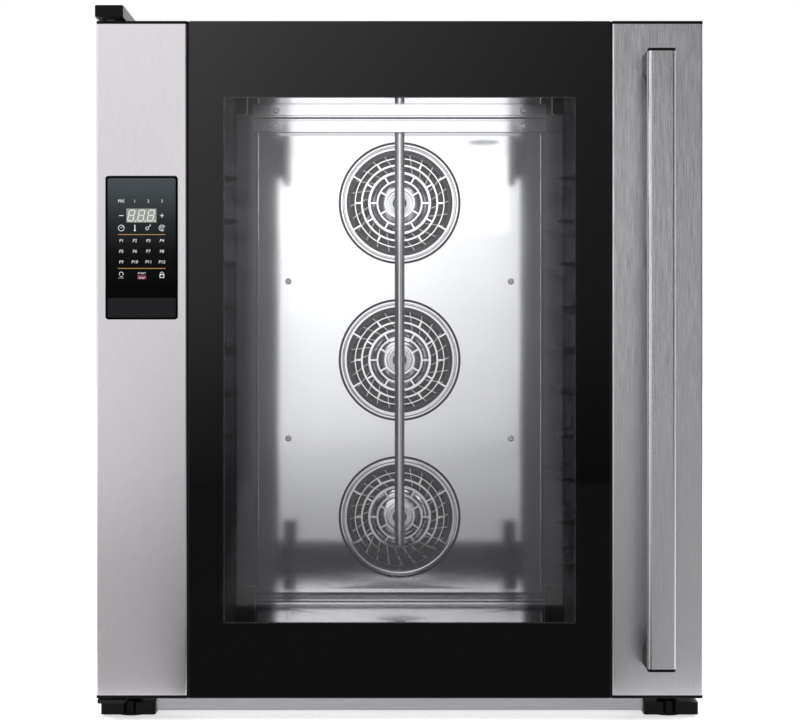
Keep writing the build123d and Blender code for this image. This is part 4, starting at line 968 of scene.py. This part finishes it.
# %% [markdown]
# ### Printing on the control panel
# The printing is drawn flat, as on a drawing board, in millimetres from the middle of the panel. It is then
# made a thin layer of ink, stood up and set on the glass. Letters start as text, because the program has a
# plain typeface, and become mesh before they are placed. Only general marks are used: names of keys,
# numbers, plus and minus, and plain symbols.

# %% Drawing board
INK = 0.08
MM = 0.001
ON_PANEL = Matrix.Translation(PANEL) @ Matrix.Rotation(math.radians(90), 4, "X") @ Matrix.Scale(MM, 4)


def letters(shape, text, x, y, height, lean=0.0):
    """Words centred on a point of the drawing board, their capitals this tall."""
    curve = bpy.data.curves.new(text, "FONT")
    curve.body, curve.resolution_u, curve.shear, curve.offset = text, 3, lean, 0.002
    words = bpy.data.objects.new(text, curve)
    bpy.context.scene.collection.objects.link(words)
    bpy.context.view_layer.update()
    mesh = bpy.data.meshes.new_from_object(words.evaluated_get(bpy.context.evaluated_depsgraph_get()))
    bpy.data.objects.remove(words)
    across = [v.co.x for v in mesh.vertices]
    up = [v.co.y for v in mesh.vertices]
    size = height / (max(up) - min(up))
    mesh.transform(
        Matrix.Translation((x, y, 0)) @ Matrix.Scale(size, 4)
        @ Matrix.Translation((-(max(across) + min(across)) / 2, -(max(up) + min(up)) / 2, 0))
    )
    shape.from_mesh(mesh)
    bpy.data.meshes.remove(mesh)


def stroke(shape, start, end, width):
    """A straight line of ink."""
    start, end = Vector((*start, 0)), Vector((*end, 0))
    run = end - start
    matrix = (
        Matrix.Translation((start + end) / 2)
        @ Matrix.Rotation(math.atan2(run.y, run.x), 4, "Z")
        @ Matrix.Diagonal((run.length, width, 1, 1))
    )
    bmesh.ops.create_grid(shape, x_segments=1, y_segments=1, size=0.5, matrix=matrix)


def ring(shape, x, y, outer, width, start=0, turn=360):
    """A ring or an arc of ink, spun from a short line."""
    angle = math.radians(start)
    lead = [Vector((math.cos(angle) * r, math.sin(angle) * r, 0)) for r in (outer - width, outer)]
    points = [shape.verts.new(Vector((x, y, 0)) + p) for p in lead]
    edge = shape.edges.new(points)
    bmesh.ops.spin(shape, geom=[*points, edge], cent=(x, y, 0), axis=(0, 0, 1), angle=math.radians(turn),
                   steps=max(4, round(abs(turn) / 12)), use_merge=turn == 360)


def dot(shape, x, y, radius):
    matrix = Matrix.Translation((x, y, 0))
    bmesh.ops.create_circle(shape, cap_ends=True, segments=16, radius=radius, matrix=matrix)


def print_on_panel(name, shape, finish, lift=0.0):
    """Thicken the ink, stand it up and set it on the control glass."""
    bmesh.ops.remove_doubles(shape, verts=shape.verts, dist=0.0001)
    raised = bmesh.ops.extrude_face_region(shape, geom=shape.faces[:])["geom"]
    tops = [v for v in raised if isinstance(v, bmesh.types.BMVert)]
    bmesh.ops.translate(shape, verts=tops, vec=(0, 0, INK))
    bmesh.ops.transform(shape, matrix=ON_PANEL @ Matrix.Translation((0, 0, lift)), verts=shape.verts)
    make_piece(name, shape, finish, "door")


# %% [markdown]
# Ink is a colour with hardly any gloss, a little uneven where the screen printed it thinner.


# %% Inks
def ink(name, thin, full):
    finish = Finish(name, Roughness=0.45)
    finish.shades(finish.noise(finish.stretched(1500, 1500, 1500), detail=1.0), thin, full)
    return finish


white_ink = ink("white_ink", tone(226, 228, 232), tone(246, 247, 250))
gold_ink = ink("gold_ink", tone(170, 128, 52), tone(206, 160, 74))
red_ink = ink("red_ink", tone(112, 12, 40), tone(140, 22, 54))

# %% Keys
COLUMNS = (-26.8, -8.9, 8.9, 26.8)
legend = bmesh.new()
for text, x in zip(("PRE", "1", "2", "3"), COLUMNS):
    letters(legend, text, x, 61.5, 3.7)
for row, y in enumerate((9.4, -4.7, -18.7)):
    for column, x in enumerate(COLUMNS):
        letters(legend, f"P{row * 4 + column + 1}", x, y, 4.0, 0.12)
letters(legend, "START", 0.3, -33.6, 2.5)
stroke(legend, (-29.6, 42.3), (-24.0, 42.3), 0.9)
stroke(legend, (24.2, 42.3), (29.4, 42.3), 0.9)
stroke(legend, (26.8, 39.7), (26.8, 44.9), 0.9)
print("keys drawn", len(legend.faces))

# %% [markdown]
# The symbols stand for time, temperature, moisture, fan, light and key lock. They are built of the same
# strokes and arcs, drawn at about nine millimetres across.

# %% Symbols
ICONS = 26.0
ring(legend, COLUMNS[0], ICONS, 4.2, 0.75)
stroke(legend, (COLUMNS[0], ICONS), (COLUMNS[0] + 1.9, ICONS + 2.1), 0.65)
stroke(legend, (COLUMNS[0], ICONS), (COLUMNS[0] - 1.3, ICONS + 0.9), 0.65)
stroke(legend, (COLUMNS[1], ICONS - 2.2), (COLUMNS[1], ICONS + 4.2), 1.3)
dot(legend, COLUMNS[1], ICONS - 2.9, 1.35)
ring(legend, COLUMNS[2] - 1.6, ICONS - 0.6, 2.3, 0.7)
stroke(legend, (COLUMNS[2] + 0.2, ICONS + 1.1), (COLUMNS[2] + 3.4, ICONS + 4.0), 0.7)
stroke(legend, (COLUMNS[2] + 1.4, ICONS + 3.9), (COLUMNS[2] + 3.7, ICONS + 3.9), 0.6)
ring(legend, COLUMNS[3], ICONS, 4.2, 0.7, 20, 300)
for turn in range(0, 360, 120):
    a = math.radians(turn + 30)
    ring(legend, COLUMNS[3] + 1.25 * math.cos(a), ICONS + 1.25 * math.sin(a), 1.5, 0.6, turn - 60, 180)
dot(legend, COLUMNS[3], ICONS, 0.6)
ring(legend, COLUMNS[0], -34.6, 2.9, 0.7, -50, 280)
stroke(legend, (COLUMNS[0] - 1.6, -38.1), (COLUMNS[0] + 1.6, -38.1), 0.7)
stroke(legend, (COLUMNS[0] - 3.6, -40.0), (COLUMNS[0] + 3.6, -40.0), 0.35)
ring(legend, COLUMNS[3], -34.0, 2.2, 0.65, 0, 180)
for side in (-1, 1):
    stroke(legend, (COLUMNS[3] + side * 2.6, -35.6), (COLUMNS[3] + side * 2.6, -39.4), 1.0)
stroke(legend, (COLUMNS[3] - 3.1, -35.2), (COLUMNS[3] + 3.1, -35.2), 1.1)
stroke(legend, (COLUMNS[3] - 3.1, -39.4), (COLUMNS[3] + 3.1, -39.4), 0.8)
print_on_panel("panel_legend", legend, white_ink)

# %% Rules and stop
rules = bmesh.new()
for y in (17.3, -27.3):
    stroke(rules, (-31.4, y), (31.4, y), 0.8)
print_on_panel("panel_rules", rules, gold_ink)
stop = bmesh.new()
stroke(stop, (-5.4, -38.8), (6.0, -38.8), 5.2)
print_on_panel("panel_stop", stop, red_ink)
word = bmesh.new()
letters(word, "STOP", 0.3, -39.9, 2.4)
print_on_panel("panel_stop_word", word, white_ink, INK)

# %% [markdown]
# ### Display
# The display is a pale grey window with three leaning digits of seven bars each and a point after each
# digit. One bar is a slim lozenge, and the same bar is used flat and upright.

# %% Display window
DISPLAY = 42.4
lcd = Finish("display_ground", Roughness=0.25)
lcd.shades(lcd.noise(lcd.stretched(400, 400, 400), detail=1.0), tone(136, 142, 136), tone(152, 158, 152))
window = bmesh.new()
stroke(window, (-20.0, DISPLAY), (19.6, DISPLAY), 18.4)
print_on_panel("display_window", window, lcd)

# %% Digits
DIGIT = (7.4, 14.0)
BAR_WIDTH, LEAN = 1.35, 0.2


def digit_bar(shape, x, y, length, upright):
    """One bar of a digit, pointed at both ends."""
    half, edge = length / 2, BAR_WIDTH / 2
    outline = [
        (-half, 0), (-half + edge, edge), (half - edge, edge),
        (half, 0), (half - edge, -edge), (-half + edge, -edge),
    ]
    if upright:
        outline = [(-v, u) for u, v in outline]
    shape.faces.new([shape.verts.new((x + u + (y + v) * LEAN, y + v, 0)) for u, v in outline])


digits = bmesh.new()
for middle in (-12.9, 0.0, 12.9):
    one = bmesh.new()
    for y in (-DIGIT[1] / 2, 0, DIGIT[1] / 2):
        digit_bar(one, 0, y, DIGIT[0] - 0.3, False)
    for x in (-DIGIT[0] / 2, DIGIT[0] / 2):
        for y in (-DIGIT[1] / 4, DIGIT[1] / 4):
            digit_bar(one, x, y, DIGIT[1] / 2 - 0.3, True)
    dot(one, DIGIT[0] / 2 + 1.6, -DIGIT[1] / 2 - 0.2, 0.95)
    bmesh.ops.translate(one, verts=one.verts, vec=(middle - 0.6, DISPLAY, 0))
    held = bpy.data.meshes.new("digit")
    one.to_mesh(held)
    one.free()
    digits.from_mesh(held)
    bpy.data.meshes.remove(held)
lit = Finish("display_digit", Roughness=0.4)
lit.shades(lit.noise(lit.stretched(900, 900, 900), detail=1.0), tone(222, 226, 218), tone(240, 243, 236))
print_on_panel("display_digits", digits, lit, INK)

# %% [markdown]
# ### Beads of the fan guards
# Between the outer slot and the rings of each guard the cover has a pressed bead, which stiffens the thin
# sheet. It is a low half-round, spun about the axis of the fan.

# %% Guard beads
BEAD_RADIUS, BEAD_WIDTH, BEAD_RISE = 0.09075, 0.0036, 0.0009
bead = bmesh.new()
for height in FAN_HEIGHTS:
    lead = []
    for step in range(7):
        turn = math.radians(step * 30)
        across, out = math.cos(turn) * BEAD_WIDTH / 2, math.sin(turn) * BEAD_RISE
        lead.append(bead.verts.new((BEAD_RADIUS + across, COVER_FRONT - out, height)))
    edges = [bead.edges.new(pair) for pair in zip(lead, lead[1:] + lead[:1])]
    bmesh.ops.spin(bead, geom=lead + edges, cent=(0, COVER_FRONT, height), axis=(0, 1, 0),
                   angle=math.tau, steps=96, use_merge=True)
bead_finish = polished("bead_steel", tone(226, 227, 230), 0.14, 0.0)
make_piece("guard_beads", bead, bead_finish, "cabinet", True)
